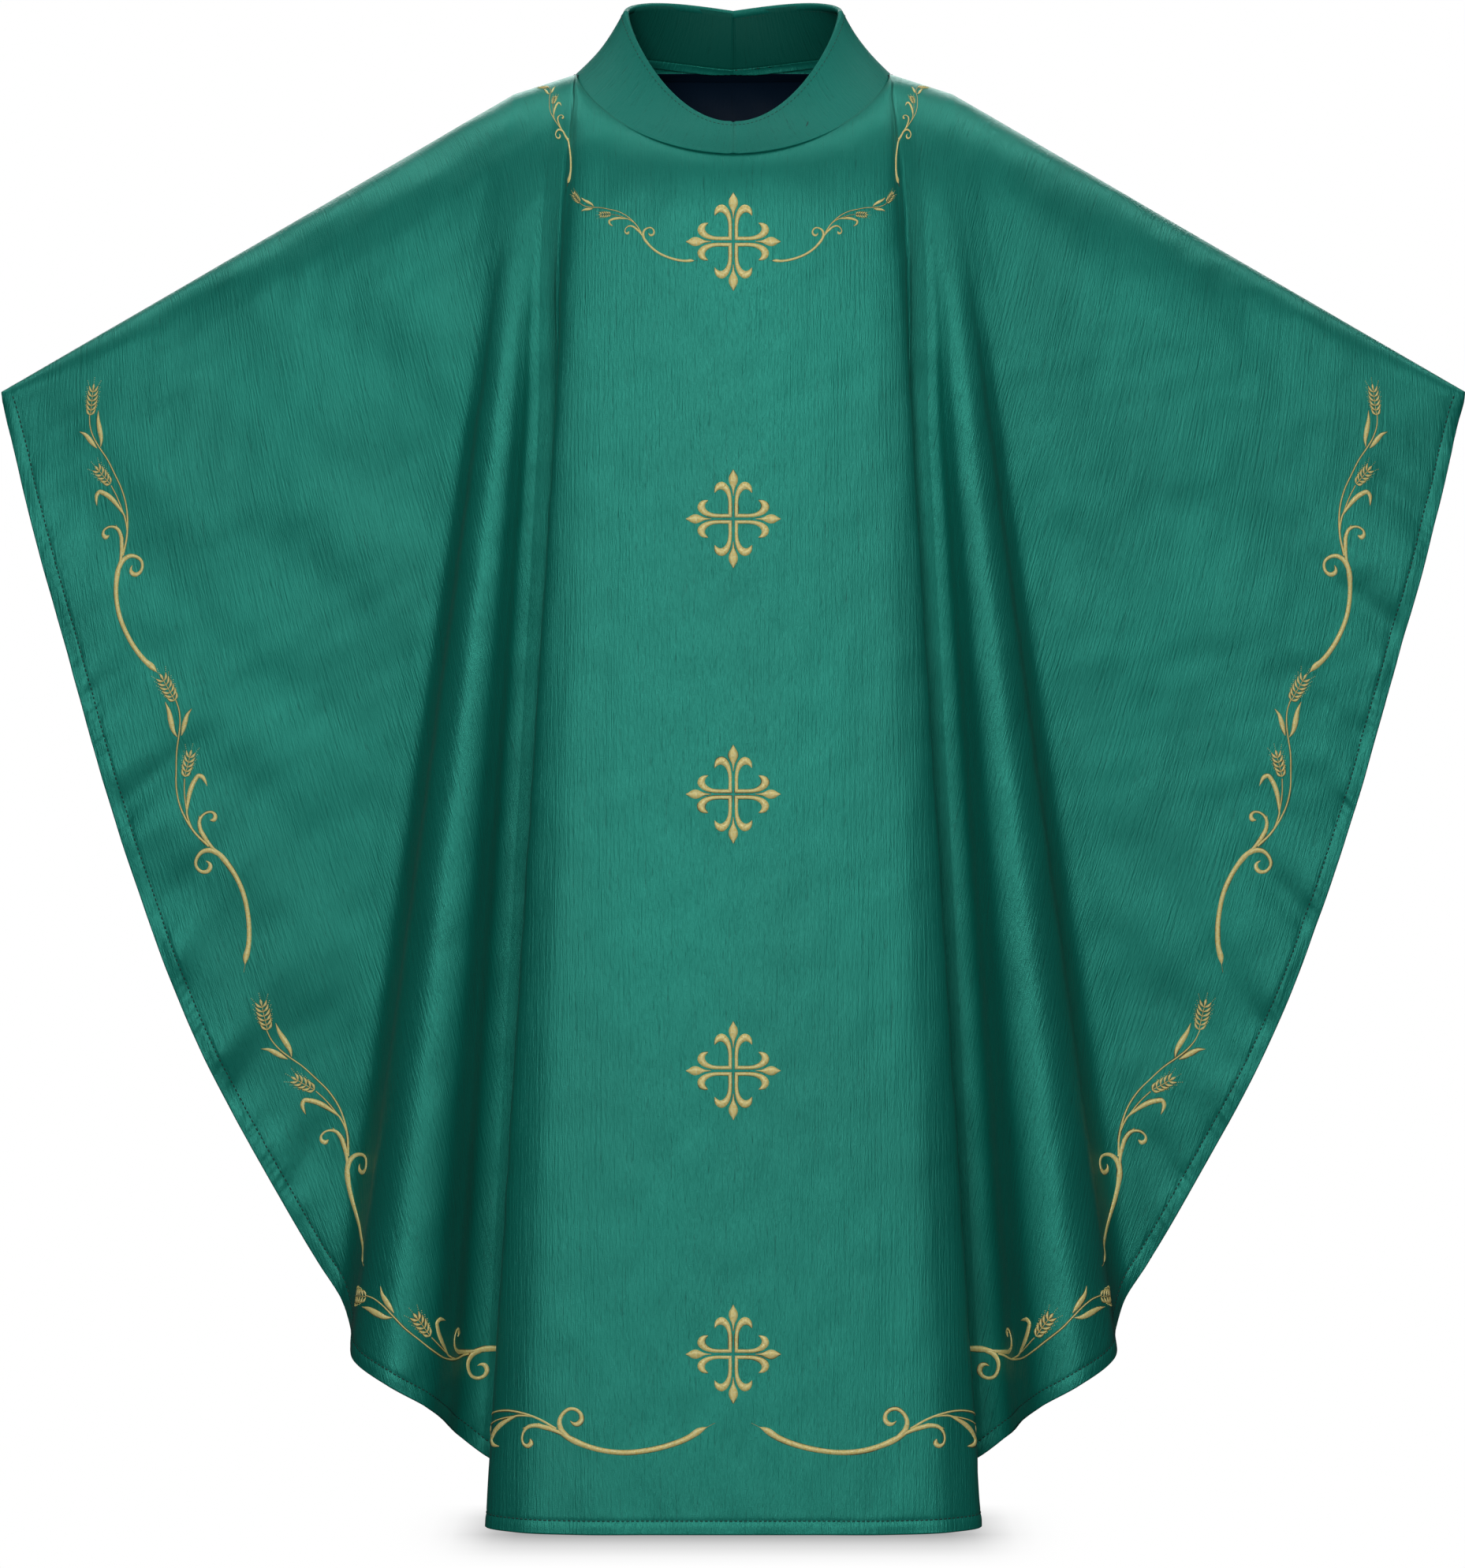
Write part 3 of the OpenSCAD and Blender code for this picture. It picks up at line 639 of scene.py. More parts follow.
def panel_places(back):
    """u and v of a grid over one half, with rows at fixed distances from the hem."""
    u = half_columns(back)
    length = PATTERNS[back].at(u)[2]
    last = np.minimum(0.6, HEM_ROWS[0] / hem_square(u, back) / length)
    t = np.linspace(0, 1, DOWN_STEPS + 1)[:-1, None]
    upper = (0.6 * t + 0.4 * t**2) * (1 - last)
    lower = 1 - last * (HEM_ROWS / HEM_ROWS[0])[:, None]
    v = np.concatenate([upper, lower])
    return np.broadcast_to(u, v.shape), v


def both_halves(left, right):
    """One grid from the left wrist to the right one; the centre column comes once."""
    return np.concatenate([left[:, ::-1][:, :-1], right], axis=1)


def cloth_grid(u, v, h, back):
    height = np.full(u.shape, h)
    return both_halves(raised(u, v, height, -1, back), raised(u, v, height, 1, back))


GRAIN_TURN = math.radians(-9)


def panel_uv(u, v, back):
    """Flat coordinates, turned on the wings so that the grain leans as it hangs there."""
    right = PATTERNS[back].flat(u, v)
    turn = GRAIN_TURN * np.clip((u - 5) / 3, 0, 1)
    pivot = np.array([300.0, 100.0])
    c, s = np.cos(turn), np.sin(turn)
    x, z = right[..., 0] - pivot[0], right[..., 1] - pivot[1]
    right = np.stack([x * c + z * s, z * c - x * s], -1) + pivot
    return both_halves(right * [-1, 1], right) + [1000, 1500]


def make_panel(back):
    u, v = panel_places(back)
    face = cloth_grid(u, v, 0.0, back)
    rear = cloth_grid(u, v, -CLOTH, back)
    uv = panel_uv(u, v, back)
    if not back:
        face, rear, uv = (g[:, ::-1] for g in (face, rear, uv))
    side = "back" if back else "front"
    # the rear faces take the near-black inside colour, painted shade
    ob = skin(f"{side}_panel_cloth", face, rear, uv, [EMERALD, INSIDE_SHADE], 0.5)
    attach(ob, "root")
    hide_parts(f"{side}_panel")
    return ob


def make_hem(back):
    """The hem, turned to the inside of the panel."""
    u = half_columns(back)[:-3]
    length = PATTERNS[back].at(u)[2]
    rise = np.linspace(0, 1, 6)[:, None] * np.minimum(
        0.6, HEM_WIDTH / hem_square(u, back) / length
    )
    v = 1 - rise
    u = np.broadcast_to(u, v.shape)
    near = cloth_grid(u, v, -CLOTH, back)
    far = cloth_grid(u, v, -CLOTH - 1.0, back)
    uv = panel_uv(u, v, back)
    if not back:
        near, far, uv = (g[:, ::-1] for g in (near, far, uv))
    side = "back" if back else "front"
    ob = skin(f"{side}_hem_cloth", near[::-1], far[::-1], uv[::-1], [EMERALD])
    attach(ob, "root")
    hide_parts(f"{side}_hem")


panels = {back: make_panel(back) for back in (False, True)}
for back in (False, True):
    make_hem(back)

# ---------------------------------------------------------------------------
# Raised thread work
# ---------------------------------------------------------------------------

DOME = np.array([-1, -0.86, -0.5, 0, 0.5, 0.86, 1])
ROOT = -0.3
EDGE_SHADE_WIDTH = 0.5
EDGE_SHADE_HEIGHT = 0.45


class Threads:
    """Strokes of thread gathered into one piece: gold on top and, below it, a dark strip of
    painted shade round its edge.
    """

    def __init__(self):
        self.flat, self.height, self.uv, self.faces, self.kind = [], [], [], [], []
        self.count = 0

    def ribbon(self, places, heights, uv, kind):
        rows, columns = heights.shape
        self.flat.append(places.reshape(-1, 2))
        self.height.append(heights.ravel())
        self.uv.append(uv.reshape(-1, 2))
        faces = grid_faces(rows, columns, self.count)
        self.faces.append(faces)
        self.kind.append(np.full(len(faces), kind))
        self.count += rows * columns

    def stroke(self, points, size=1.0, put=None, spacing=1.3, mitre=False, full=1.15):
        """A satin stroke through rows of x, y and half width, put on the flat pattern."""
        p = smooth_path(points, spacing)
        centre, half = p[:, :2], np.maximum(p[:, 2], 0.12)
        d = unit(np.gradient(centre, axis=0))
        side = np.stack([d[:, 1], -d[:, 0]], -1)
        run = np.concatenate([[0], np.cumsum(np.linalg.norm(np.diff(centre, axis=0), axis=1))])
        top = np.minimum(full, 0.45 + 0.3 * half) * size**0.5
        # kind 1 is the painted-shade strip, a little wider and lower than the gold
        for kind, grow in ((1, EDGE_SHADE_WIDTH), (0, 0.0)):
            wide = half + grow * np.clip(half / 0.6, 0.3, 1)
            columns = DOME if kind == 0 else np.array([-1.0, 0.0, 1.0])
            places = centre[:, None] + side[:, None] * (wide[:, None] * columns)[..., None]
            if mitre:
                places[..., 1] = np.maximum(places[..., 1], places[..., 0])
            if kind == 0:
                rise = (top - ROOT)[:, None] * ((1 - columns**2) ** 0.36)[None] + ROOT
            else:
                rise = np.array([-0.1, EDGE_SHADE_HEIGHT, -0.1]) * np.ones((len(p), 1))
            along = np.repeat(run[:, None] * size, len(columns), 1)
            across = wide[:, None] * columns * size
            self.ribbon(put(places), rise, np.stack([along, across], -1), kind)

    def bead(self, centre, radius, size, put):
        """A small raised knot of thread."""
        ring = np.linspace(0, 2 * np.pi, 7)
        levels = np.array([1.0, 0.7, 0.05])
        across = np.stack([np.cos(ring), np.sin(ring)], -1)
        places = centre + radius * levels[:, None, None] * across[None]
        rise = np.array([ROOT, 0.55, 0.75])[:, None] * np.ones((1, len(ring))) * size**0.5
        uv = places - centre
        self.ribbon(put(places[:, ::-1]), rise, uv, 0)

    def piece(self, name, side, back):
        """The finished object on one half of a panel, or across the middle with side 0."""
        flat = np.concatenate(self.flat)
        pattern = PATTERNS[back]
        place = np.stack([np.abs(flat[:, 0]), flat[:, 1]], -1)
        u, v = pattern.on_cloth(place)
        hand = np.where(flat[:, 0] < 0, -1.0, 1.0) if side == 0 else side
        points = raised(u, v, np.concatenate(self.height), hand, back)
        faces = np.concatenate(self.faces)
        turned_over = (side < 0) != back
        if turned_over:
            faces = faces[:, ::-1]
        uv = np.concatenate(self.uv) * MM
        kind = np.concatenate(self.kind)
        ob = make_object(name, points, faces, [GOLD, EDGE_SHADE], uv, kind)
        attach(ob, "root")
        return ob


# The motif of a spray in millimetres. The scrolls join at the origin, the ears are at +y,
# and +x is towards the centre of the garment. Each row is x, y and half width.
STEMS = [
    [[-34.6, 131, 0.5], [-33.2, 122.5, 0.55], [-28.4, 111.8, 0.6], [-22.2, 103, 0.65],
     [-13, 91.4, 0.6], [-4.4, 77.2, 0.6], [2.7, 63.9, 0.65], [7.1, 49.7, 0.7],
     [8.3, 35.5, 0.85], [7.1, 21.3, 0.95], [2.7, 5.3, 1.0]],
    [[-8, 67.5, 0.45], [-2.7, 58.6, 0.5], [2.7, 46.2, 0.55], [6.6, 33.7, 0.6], [7.6, 24.9, 0.5]],
]
LEAVES = [
    [[-20, 102.5, 0.3], [-19.6, 108, 1.6], [-21.7, 117, 2.6], [-24.3, 126, 1.8],
     [-25.2, 134.9, 0.1]],
    [[-24, 101.5, 0.3], [-28.4, 105.6, 1.9], [-32.8, 110, 2.3], [-37.6, 114.2, 1.5],
     [-43.8, 116.8, 0.1]],
    [[7.3, 32, 0.4], [5.2, 40, 0.8], [0.9, 46.2, 1.3], [-6.2, 54.7, 2.2], [-15.1, 61.2, 2.1],
     [-20.2, 62.9, 1.9], [-22.9, 59.8, 1.9], [-23.1, 56, 1.3], [-22.5, 51.1, 0.15]],
]
SMALL_SCROLL = [
    [0, 0, 1.2], [1.3, 7, 1.6], [1.8, 14.2, 1.9], [1.2, 23.1, 1.8], [-1.8, 28.9, 1.5],
    [-7.1, 31.4, 1.0], [-12, 31.0, 0.9], [-15.6, 28.3, 1.1], [-15.9, 24.6, 1.8],
    [-13.4, 22.6, 2.1], [-10.1, 24, 0.4],
]
BARBS = [
    [[1.6, 13.5, 1.0], [2.9, 17.5, 0.8], [3.7, 21, 0.1]],
    [[-0.6, 26.5, 0.9], [-2.2, 30.3, 0.6], [-3.6, 32.8, 0.1]],
]
BIG_SCROLL = [
    [-0.9, -5.3, 1.6], [2.7, 0.9, 2.2], [8.9, 4.1, 1.9], [16, 2.7, 1.5], [20.7, -1.6, 1.4],
    [21.3, -6.4, 1.4], [18.6, -11.2, 1.6], [13.8, -12.6, 2.0], [10.2, -10, 1.9],
    [10.0, -7, 1.1], [11.5, -4.2, 0.2],
]
MAIN_STEM = [
    [0, 0, 1.5], [-2.7, -8.9, 2.5], [-4.4, -19.5, 2.2], [-4.8, -30.2, 2.1],
    [-2.7, -46.2, 2.1], [2.7, -62.1, 2.1], [10.3, -77.2, 2.2], [18.6, -88.8, 2.3],
    [25.4, -95.4, 2.4], [27.2, -97.6, 1.4], [28.4, -99.2, 0.4], [33, -104.6, 0.12],
]
EARS = [
    [[-33.7, 131], [-32.3, 158.9], 12.5, 6],
    [[-8.9, 68.9], [-25.7, 86.1], 10.5, 5],
]


def wheat_ear(threads, base, top, wide, pairs, size, put):
    """Grains in pairs, leaning out from the stem, with dotted awns beyond them."""
    base, top = np.array(base), np.array(top)
    axis = unit(top - base)
    out = np.array([axis[1], -axis[0]])
    long = np.linalg.norm(top - base)
    grain = 1.5 * long / (pairs + 1)
    threads.stroke([[*base, 0.4], [*(base + axis * long * 0.85), 0.3]], size, put)
    for i in range(pairs):
        share = i / pairs
        root = base + axis * long * 0.86 * share
        spread = wide / 2 * (0.62 + 0.5 * math.sin(math.pi * (0.2 + 0.7 * share)))
        for hand in (-1, 1):
            lean = out * hand
            mid = root + lean * spread * 0.55 + axis * grain * 0.38
            tip = root + lean * spread * 0.9 + axis * grain
            start = root + lean * 0.5 + axis * 0.4
            threads.stroke(
                [[*start, 0.35], [*mid, 1.15], [*tip, 0.15]], size, put, spacing=0.9,
            )
            awn = unit(tip - mid * 0.4 - root * 0.6 + axis * 2)
            for k in range(2 if i < pairs - 1 else 3):
                threads.bead(tip + awn * (1.4 + 1.7 * k), 0.42, size, put)
    tip_row = base + axis * long
    threads.stroke(
        [[*(tip_row - axis * grain * 1.0), 0.4], [*(tip_row - axis * grain * 0.4), 1.2],
         [*tip_row, 0.1]], size, put, spacing=0.9,
    )
    for k in range(3):
        threads.bead(tip_row + axis * (1.4 + 1.8 * k), 0.42, size, put)


# For each spray: the fold line that its scrolls join on, the share of the way down that
# line, the lean outwards from it in degrees, its size, whether it is mirrored, and the
# stretch of its main stem
NECKLINE_SIZE = 0.5
WING_SIZE = 1.04
BORDER_SIZE = 1.12
SPRAYS = {
    "shoulder": (5.8, 0.075, 33, NECKLINE_SIZE, True, 1.0),
    "neck": (1.7, 0.08, 50, NECKLINE_SIZE, False, 1.0),
    "wrist": (19.8, 0.69, 20, WING_SIZE, False, 1.0),
    "arm": (18.2, 0.82, 44, WING_SIZE, True, 1.0),
    "side": (15.5, 0.905, 26, WING_SIZE, False, 1.0),
    "hem": (8.6, 0.935, 85, BORDER_SIZE, True, 1.0),
    "centre": (2.3, 0.93, 79, BORDER_SIZE, False, 1.12),
}


def spray_place(u, v, lean, size, mirrored):
    """A function from the motif to the flat pattern."""
    pattern = PATTERNS[False]
    x, z = pattern.flat(u, v)
    turn = math.radians(lean) - pattern.at(u)[1]
    c, s = math.cos(turn), math.sin(turn)
    hand = 1 if mirrored else -1

    def put(p):
        px, py = hand * p[..., 0] * size, p[..., 1] * size
        return np.stack([x + px * c + py * s, z - px * s + py * c], -1)

    return put


def make_spray(name, side, back):
    u, v, lean, size, mirrored, stretch = SPRAYS[name]
    put = spray_place(u, v, lean, size, mirrored)
    threads = Threads()
    main = [[a * stretch, b * stretch, w] for a, b, w in MAIN_STEM]
    for points in STEMS + LEAVES + BARBS + [SMALL_SCROLL, BIG_SCROLL, main]:
        threads.stroke(points, size, put)
    for base, top, wide, pairs in EARS:
        wheat_ear(threads, base, top, wide, pairs, size, put)
    label = f"{'back' if back else 'front'}_{name}_spray_{'left' if side < 0 else 'right'}"
    ob = threads.piece(label + "_thread", side, back)
    if not mirrored:
        ob.data.flip_normals()
    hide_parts(label)


BAR = 2.8
HOOK = [
    [BAR, 1.2, 1.6], [BAR, 8, 1.6], [BAR, 14.5, 1.6], [3.3, 19.5, 1.8], [4.7, 24, 2.3],
    [7.2, 27.8, 3.1], [10.4, 29.7, 3.7], [13.4, 28.6, 3.0], [15.4, 26.2, 1.6],
    [16.6, 23.4, 0.15],
]
CROSS_LEAF = [
    [0, 20.4, 0.2], [0, 24, 0.65], [0, 27, 1.3], [0, 30, 2.7], [0, 33, 4.0], [0, 35.8, 4.3],
    [0, 38.8, 3.4], [0, 41.4, 1.7], [0, 44.1, 0.1],
]
CROSS_DROPS = [150, 398, 644, 891, 1144]


def make_cross(number, back):
    pattern = PATTERNS[back]
    v = np.linspace(0, 1, 400)
    falls = smooth_cloth(np.zeros_like(v), v, back)[:, 2]
    share = np.interp(CROSS_DROPS[number] * DROP / 1305, -falls, v)
    centre = np.array([0, pattern.place[0, 1] - share * pattern.length[0]])
    threads = Threads()
    for turn in range(4):
        c, s = [(1, 0), (0, 1), (-1, 0), (0, -1)][turn]
        squeeze = np.array([1.0, 1.0]) if turn % 2 == 0 else np.array([0.965, 1.0])
        for hand in (-1, 1):
            def put(p, c=c, s=s, hand=hand, squeeze=squeeze):
                x, y = p[..., 0] * hand, p[..., 1]
                return np.stack([x * c - y * s, x * s + y * c], -1) * squeeze + centre

            threads.stroke(HOOK, 1.0, put, mitre=True, full=1.6)
        threads.stroke(CROSS_LEAF, 1.0, put, full=1.9)
    label = f"{'back' if back else 'front'}_cross_{number + 1}"
    ob = threads.piece(label + "_thread", 0, back)
    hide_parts(label)


for back in (False, True):
    for number in range(5):
        make_cross(number, back)
    for side in (-1, 1):
        for name in SPRAYS:
            make_spray(name, side, back)

# ---------------------------------------------------------------------------
# Stitches
# ---------------------------------------------------------------------------


def stitches(name, centres, runs, outs, long=3.0, thick=0.7):
    """Short raised stitches at the centres, along runs and standing out along outs."""
    across = unit(np.cross(runs, outs))
    steps = [(-0.5, 0.3), (-0.3, 1), (0.3, 1), (0.5, 0.3)]
    ring = [(-1, -0.3), (-0.5, 0.8), (0.5, 0.8), (1, -0.3)]
    grid = np.stack([
        np.stack([
            centres + runs * long * s + (across * a + outs * b) * thick * w
            for a, b in ring
        ], 1)
        for s, w in steps
    ], 1)
    count = len(centres)
    size = len(steps) * len(ring)
    cell = grid_faces(len(steps), len(ring))
    faces = (cell[None] + (np.arange(count) * size)[:, None, None]).reshape(-1, 4)
    points = grid.reshape(-1, 3)
    uv = points[:, [0, 2]] * MM
    ob = make_object(name, points, faces, [STITCH], uv)
    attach(ob, "root")
    return ob


def hem_stitches(back):
    pattern = PATTERNS[back]
    arc = HEM_ARC[back]
    pitch = 4.4
    places = np.arange(pitch / 2, arc[-1] - 14, pitch)
    u = np.interp(places, arc, pattern.u)
    u2 = np.interp(places + 0.5, arc, pattern.u)
    centres, runs, outs = [], [], []
    for side in (-1, 1):
        v, v2 = (
            1 - np.minimum(0.6, HEM_WIDTH / hem_square(w, back) / pattern.at(w)[2])
            for w in (u, u2)
        )
        a = raised(u, v, np.full_like(u, 0.12), side, back)
        b = raised(u2, v2, np.full_like(u, 0.12), side, back)
        n = cloth_normal(u, v, back) * [side, 1, 1]
        centres.append(a)
        runs.append(unit(b - a) * side * (1 if back else -1))
        outs.append(n)
    return stitches(
        f"{'back' if back else 'front'}_hem_stitches",
        *(np.concatenate(a) for a in (centres, runs, outs)),
    )


for back in (False, True):
    hem_stitches(back)

# ---------------------------------------------------------------------------
# Collar
# ---------------------------------------------------------------------------

RIM_HALF, RIM_FRONT, RIM_BACK = 97.0, 60.0, 82.0
LAYER, LAYER_GAP = 1.2, 0.1
FACING_FACE = 2 * (LAYER + LAYER_GAP)
COLLAR_THICK = FACING_FACE + LAYER
FACING_HEIGHT = 61.0


def seam_point(a):
    """The neck seam, a from 0 at the centre front to pi at the centre back."""
    front = neck_seam(np.minimum(a, np.pi / 2), False) * [1, -1, 1]
    rear = neck_seam(np.minimum(np.pi - a, np.pi / 2), True)
    return np.where((a <= np.pi / 2)[..., None], front, rear)


def rim_point(a):
    s, c = np.sin(a), np.cos(a)
    front = [RIM_HALF * s, -RIM_FRONT * c, 62 - 102 * np.maximum(c, 0) ** 1.6]
    rear = [RIM_HALF * s, -RIM_BACK * c, 62 - 2 * c - 14 * s * c]
    return np.where((a <= np.pi / 2)[..., None], np.stack(front, -1), np.stack(rear, -1))


def collar_face(a, w):
    lean = unit(np.stack([np.sin(a), -np.cos(a), 0.6 + 0 * a], -1))
    s, r = seam_point(a), rim_point(a)
    return s + (r - s) * w[..., None] - 4 * np.sin(np.pi * w)[..., None] * lean


def collar_normal(a, w):
    a0, a1 = np.maximum(a - 0.02, 0), np.minimum(a + 0.02, np.pi)
    w0, w1 = np.maximum(w - 0.02, 0), np.minimum(w + 0.02, 1)
    across = collar_face(a1, w) - collar_face(a0, w)
    return unit(np.cross(across, collar_face(a, w1) - collar_face(a, w0)))


def collar_height(a):
    return np.linalg.norm(rim_point(a) - seam_point(a), axis=-1)


def collar_relief(a, w, side):
    """Soft unevenness and the groove of the centre seams."""
    across = a * 115 * side
    down = w * collar_height(a)
    h = 0.5 + 0.3 * waves(across, down, 21, 8, 150, 50) * np.sin(np.pi * np.clip(w, 0, 1))
    h = np.maximum(h, 0.1)
    for middle in (0, np.pi):
        from_seam = np.abs(a - middle) * 85
        h -= 0.8 * np.exp(-((from_seam / 1.1) ** 2))
        h += 0.25 * np.exp(-(((from_seam - 3.5) / 2.2) ** 2))
    return h


def collar_at(a, w, h, side):
    p = collar_face(a, w) + collar_normal(a, w) * h[..., None]
    p[..., 0] *= side
    return p


COLLAR_COLUMNS = 150


def collar_angles():
    """Closer together at the centre seams, where there is a groove."""
    t = np.linspace(0, 1, COLLAR_COLUMNS + 1)
    return np.pi * (t - 0.12 * np.sin(4 * np.pi * t) / 2)


def rim_profile(start, thickness, tuck, steps):
    """Shares of height above the rim's base, and depths behind the face, over the rim."""
    radius = thickness / 2
    turn = np.linspace(0, np.pi, steps)
    up = np.concatenate([np.zeros(start), radius * np.sin(turn), [-tuck]])
    depth = np.concatenate([np.zeros(start), radius * (1 - np.cos(turn)), [thickness]])
    return up, depth


def collar_outer(side):
    """The outer cloth: up the outside, over the rim and a little way down inside."""
    a = collar_angles()
    rows = 26
    up, depth = rim_profile(rows, COLLAR_THICK, 4.0, 9)
    w = np.concatenate([np.linspace(-0.04, 0.985, rows, endpoint=False), np.ones(10)])
    grid_a, grid_w = np.meshgrid(a, w)
    height = collar_height(grid_a)
    base = np.minimum(grid_w, 1 - COLLAR_THICK / 2 / height)
    grid_up, grid_depth = up[:, None] + 0 * grid_a, depth[:, None] + 0 * grid_a
    share = base + grid_up / height
    lift = collar_relief(grid_a, np.minimum(share, 1), side)
    lift = lift * np.where(grid_depth > COLLAR_THICK * 0.6, -0.4, 1)
    face = collar_at(grid_a, np.minimum(share, 1.1), lift - grid_depth, side)
    shrink = 1 - LAYER / (COLLAR_THICK / 2)
    inner_up = np.where(grid_up > 0, grid_up * shrink, grid_up)
    inner_depth = COLLAR_THICK / 2 + (grid_depth - COLLAR_THICK / 2) * shrink
    rear = collar_at(grid_a, base + inner_up / height, lift - inner_depth, side)
    uv = np.stack([grid_a * 115 * side, share * height], -1) + [3000, 0]
    if side < 0:
        face, rear, uv = (g[:, ::-1] for g in (face, rear, uv))
    label = f"collar_outer_{'left' if side < 0 else 'right'}"
    ob = skin(label + "_cloth", face, rear, uv, [COLLAR])
    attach(ob, "root")
    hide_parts(label)
    return ob


def facing_strip(name, side, low, high, near, far, material, ripple):
    """A strip inside the collar between two distances below the rim."""
    a = collar_angles()
    w = np.linspace(0, 1, 14)
    grid_a, grid_w = np.meshgrid(a, w)
    height = collar_height(grid_a)
    share = 1 - (low + (high - low) * grid_w) / height
    across = grid_a * 100
    lift = 0.4 * waves(across * side, grid_w * 40, 33, 7, 120, 40)
    unevenness = waves(across, 0 * across, 34, 5, 90, 30)
    lift = lift + ripple * np.sin(2 * np.pi * across / 9 + 2 * unevenness)
    for middle in (0, np.pi):
        lift = lift + 0.8 * np.exp(-((np.abs(grid_a - middle) * 80 / 1.1) ** 2))
    outer = collar_at(grid_a, share, lift * 0.3 - near, side)
    inner = collar_at(grid_a, share, lift - far, side)
    uv = np.stack([grid_a * 100 * side, share * height], -1) + [3500, 0]
    if side > 0:
        outer, inner, uv = (g[:, ::-1] for g in (outer, inner, uv))
    ob = skin(name, inner[::-1], outer[::-1], uv[::-1], [material])
    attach(ob, "root")
    return ob


def collar_stitches():
    """Stitches below the rim inside and out, and along the facing."""
    centres, runs, outs = [], [], []
    low = FACING_HEIGHT - 7
    rows = [(7.0, 0.1, 1), (7.5, -COLLAR_THICK - 0.2, -1), (low, -COLLAR_THICK - 0.8, -1)]
    for side in (-1, 1):
        for below, h, facing in rows:
            a = np.linspace(0.02, np.pi - 0.02, 84)
            w = 1 - below / collar_height(a)
            p = collar_at(a, w, np.full_like(a, h) + collar_relief(a, w, side), side)
            q = collar_at(a + 0.004, w, np.full_like(a, h), side)
            q0 = collar_at(a, w, np.full_like(a, h), side)
            n = collar_normal(a, w) * [side, 1, 1] * facing
            centres.append(p)
            runs.append(unit(q - q0) * side * facing)
            outs.append(n)
    return stitches(
        "collar_stitches", *(np.concatenate(a) for a in (centres, runs, outs)), 2.4, 0.35,
    )


def make_collar_half(side):
    """The outer cloth, the facing inside it and the facing's bound lower edge."""
    word = "left" if side < 0 else "right"
    outer = collar_outer(side)
    facing = facing_strip(
        f"collar_inner_{word}_cloth", side, 2.2, FACING_HEIGHT - 6, FACING_FACE,
        COLLAR_THICK, FACING, 0.0,
    )
    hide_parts(f"collar_inner_{word}")
    binding = facing_strip(
        f"collar_binding_{word}", side, FACING_HEIGHT - 7.5, FACING_HEIGHT, FACING_FACE,
        COLLAR_THICK + 0.6, EMERALD, 0.25,
    )
    return outer, facing


collar_layers = [make_collar_half(side) for side in (-1, 1)]
collar_stitches()

# ---------------------------------------------------------------------------
# The flat cut of each sheet of cloth, worked out but not used further
# ---------------------------------------------------------------------------


def declare_panel(back):
    """Works out the flat hem of a whole panel from its unrolled half, and the pieces on it;
    nothing is returned or kept.
    """
    pattern = PATTERNS[back]
    side = "back" if back else "front"
    hem = pattern.flat(pattern.u, np.ones_like(pattern.u))
    on_it = [o for o in bpy.data.objects if o.name.startswith(side + "_") and o.type == "MESH"]
    on_it = [o for o in on_it if o != panels[back] and "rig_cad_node" not in o]


def declare_collar(low, high):
    """Works out the edges of one half of a layer of the collar, a curved band between two
    heights; nothing is returned or kept.
    """
    a = collar_angles()
    w0, w1 = (np.full_like(a, w) for w in (low, high))
    ends = [collar_at(a, w, 0 * a, 1) for w in (w0, w1)]


# ---------------------------------------------------------------------------
# Materials of the parts kept from the CAD model
# ---------------------------------------------------------------------------


def paint_cad(node, material):
    mesh = frame["nodes"][node].data
    mesh.materials.clear()
    mesh.materials.append(material)


for back in (False, True):
    declare_panel(back)
for outer, facing in collar_layers:
    declare_collar(0.0, 1.0)
    declare_collar(0.15, 1.0)

# painted shade: the same near-black as the rear of the panels, for the neck tape and shoulder
# seams inside the garment
PLAIN_INSIDE_SHADE = new_material(
    "inside_shade_plain", Base_Color=(0.0006, 0.008, 0.02, 1), Roughness=0.7,
    Specular_IOR_Level=0.1,
)[0]
PLAIN_CANVAS = new_material(
    "canvas_plain", Base_Color=(0.02, 0.06, 0.05, 1), Roughness=0.85,
)[0]
for node in ("neck_tape", "shoulder_seam_left", "shoulder_seam_right"):
    paint_cad(node, PLAIN_INSIDE_SHADE)
paint_cad("collar_interfacing", PLAIN_CANVAS)

# ---------------------------------------------------------------------------
# Stage, lights and camera
# ---------------------------------------------------------------------------


def make_stage():
    """A white floor just below the hem that glows evenly, with a soft painted shadow set into
    its glow behind the cloth.
    """
    low = CAD_BOX[0][2] / MM - 20
    reach, count = 2600.0, 261
    line = np.linspace(-reach, reach, count)
    x, y = np.meshgrid(line, line)
    points = np.stack([x, y, np.full_like(x, low)], -1).reshape(-1, 3)
    # painted shadow: a soft dark patch in the floor's glow, narrow across and reaching back
    # behind the cloth
    wide = 1 / (1 + np.exp((np.abs(x) - 235) / 14))
    depth = np.interp(y, [-420, -170, 150, 430, 900, 1300], [0, 0.07, 0.3, 0.62, 0.5, 0])
    painted_shadow_level = 1 - wide * depth
    ob = make_object("floor", points, grid_faces(count, count), [])
    shade = ob.data.color_attributes.new("shade", "FLOAT_COLOR", "POINT")
    colour = np.repeat(painted_shadow_level.reshape(-1, 1), 4, 1).astype(np.float32)
    shade.data.foreach_set("color", colour.ravel())
    m, tree, shader = new_material(
        "floor", Base_Color=(0, 0, 0, 1), Specular_IOR_Level=0.0, Emission_Strength=1.0,
    )
    source = add_node(tree, "ShaderNodeVertexColor", layer_name="shade")
    tree.links.new(source.outputs["Color"], shader.inputs["Emission Color"])
    ob.data.materials.append(m)
    ob.visible_diffuse = False
    ob.visible_glossy = False


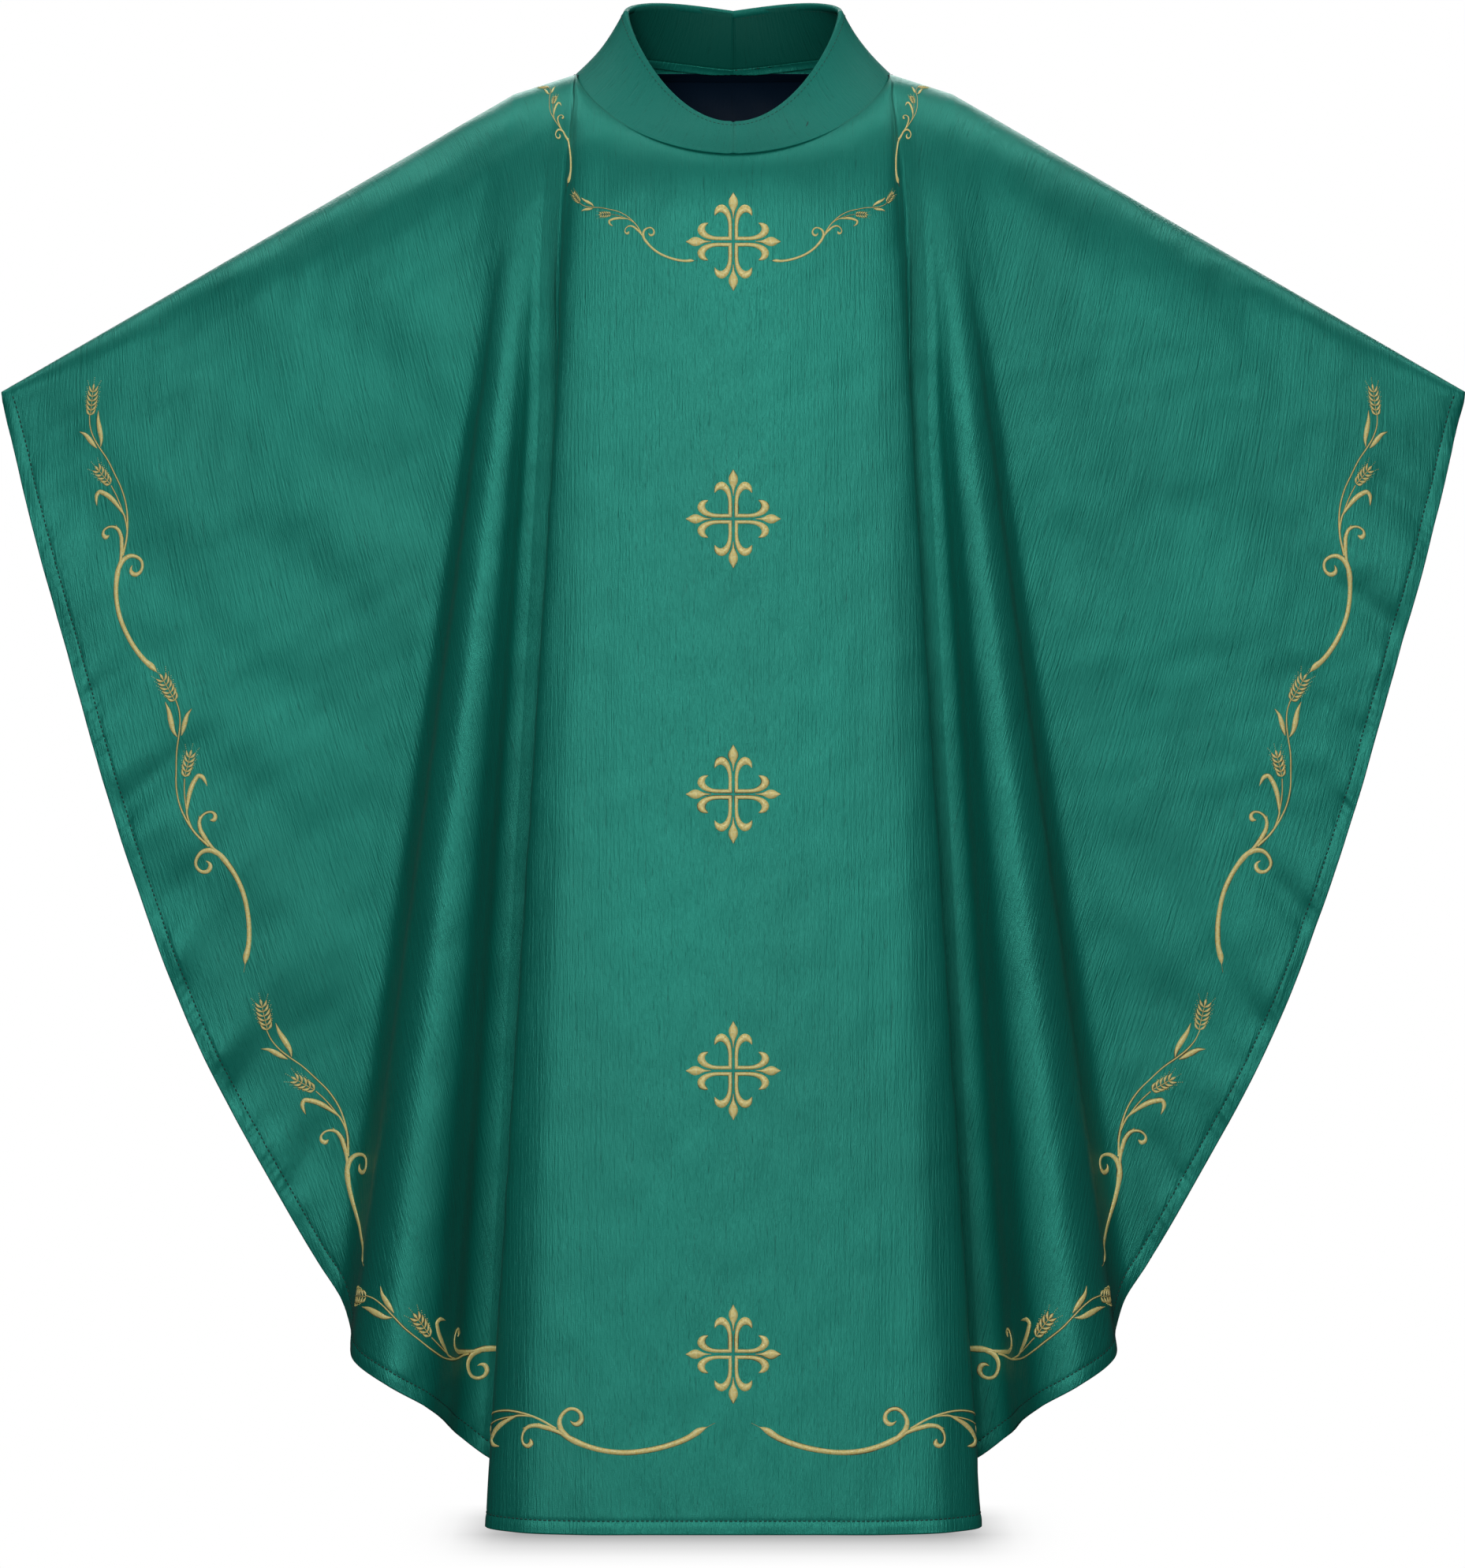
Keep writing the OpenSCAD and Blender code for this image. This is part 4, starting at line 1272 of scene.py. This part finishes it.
def area_light(name, place, target, size, power):
    data = bpy.data.lights.new(name, "AREA")
    data.shape = "RECTANGLE"
    data.size, data.size_y = size
    data.energy = power
    ob = bpy.data.objects.new(name, data)
    bpy.context.scene.collection.objects.link(ob)
    ob.location = place
    direction = Vector(target) - Vector(place)
    ob.rotation_euler = direction.to_track_quat("-Z", "Y").to_euler()


def make_world():
    world = bpy.data.worlds.new("studio")
    bpy.context.scene.world = world
    world.use_nodes = True
    tree = world.node_tree
    background = tree.nodes["Background"]
    background.inputs["Color"].default_value = (1, 1, 1, 1)
    seen = add_node(tree, "ShaderNodeMapRange")
    path = add_node(tree, "ShaderNodeLightPath")
    tree.links.new(path.outputs["Is Camera Ray"], seen.inputs["Value"])
    seen.inputs["To Min"].default_value = 0.03
    seen.inputs["To Max"].default_value = 1.0
    tree.links.new(seen.outputs["Result"], background.inputs["Strength"])


def make_camera():
    distance = 20.0
    view_height = 1.4115
    data = bpy.data.cameras.new("camera")
    data.sensor_width = 36
    data.lens = 36 * distance / view_height
    data.clip_end = 100
    ob = bpy.data.objects.new("camera", data)
    bpy.context.scene.collection.objects.link(ob)
    ob.location = (-0.0007, -distance, -0.635)
    ob.rotation_euler = (math.pi / 2, 0, 0)
    bpy.context.scene.camera = ob


# Name, place, target, size and power of each light
LIGHTS = [
    ("key", (-0.4, -5.5, 0.5), (0, 0, -0.6), (1.6, 1.6), 134),
    ("fill", (1.8, -4.0, 1.0), (0, 0, -0.7), (1.4, 1.4), 15),
    ("top", (0, -0.3, 2.6), (0, 0, -0.2), (2.4, 1.2), 12),
    ("top_left", (-1.3, 0.5, 1.9), (-0.2, 0, 0), (0.8, 0.8), 14),
    ("top_right", (1.3, 0.5, 1.9), (0.2, 0, 0), (0.8, 0.8), 13),
    ("rear", (0, 4.5, 1.7), (0, 0, -0.2), (2.6, 1.4), 70),
]

make_stage()
make_world()
for light in LIGHTS:
    area_light(*light)
make_camera()
scene = bpy.context.scene
scene.view_settings.view_transform = "Standard"
scene.view_settings.look = "None"
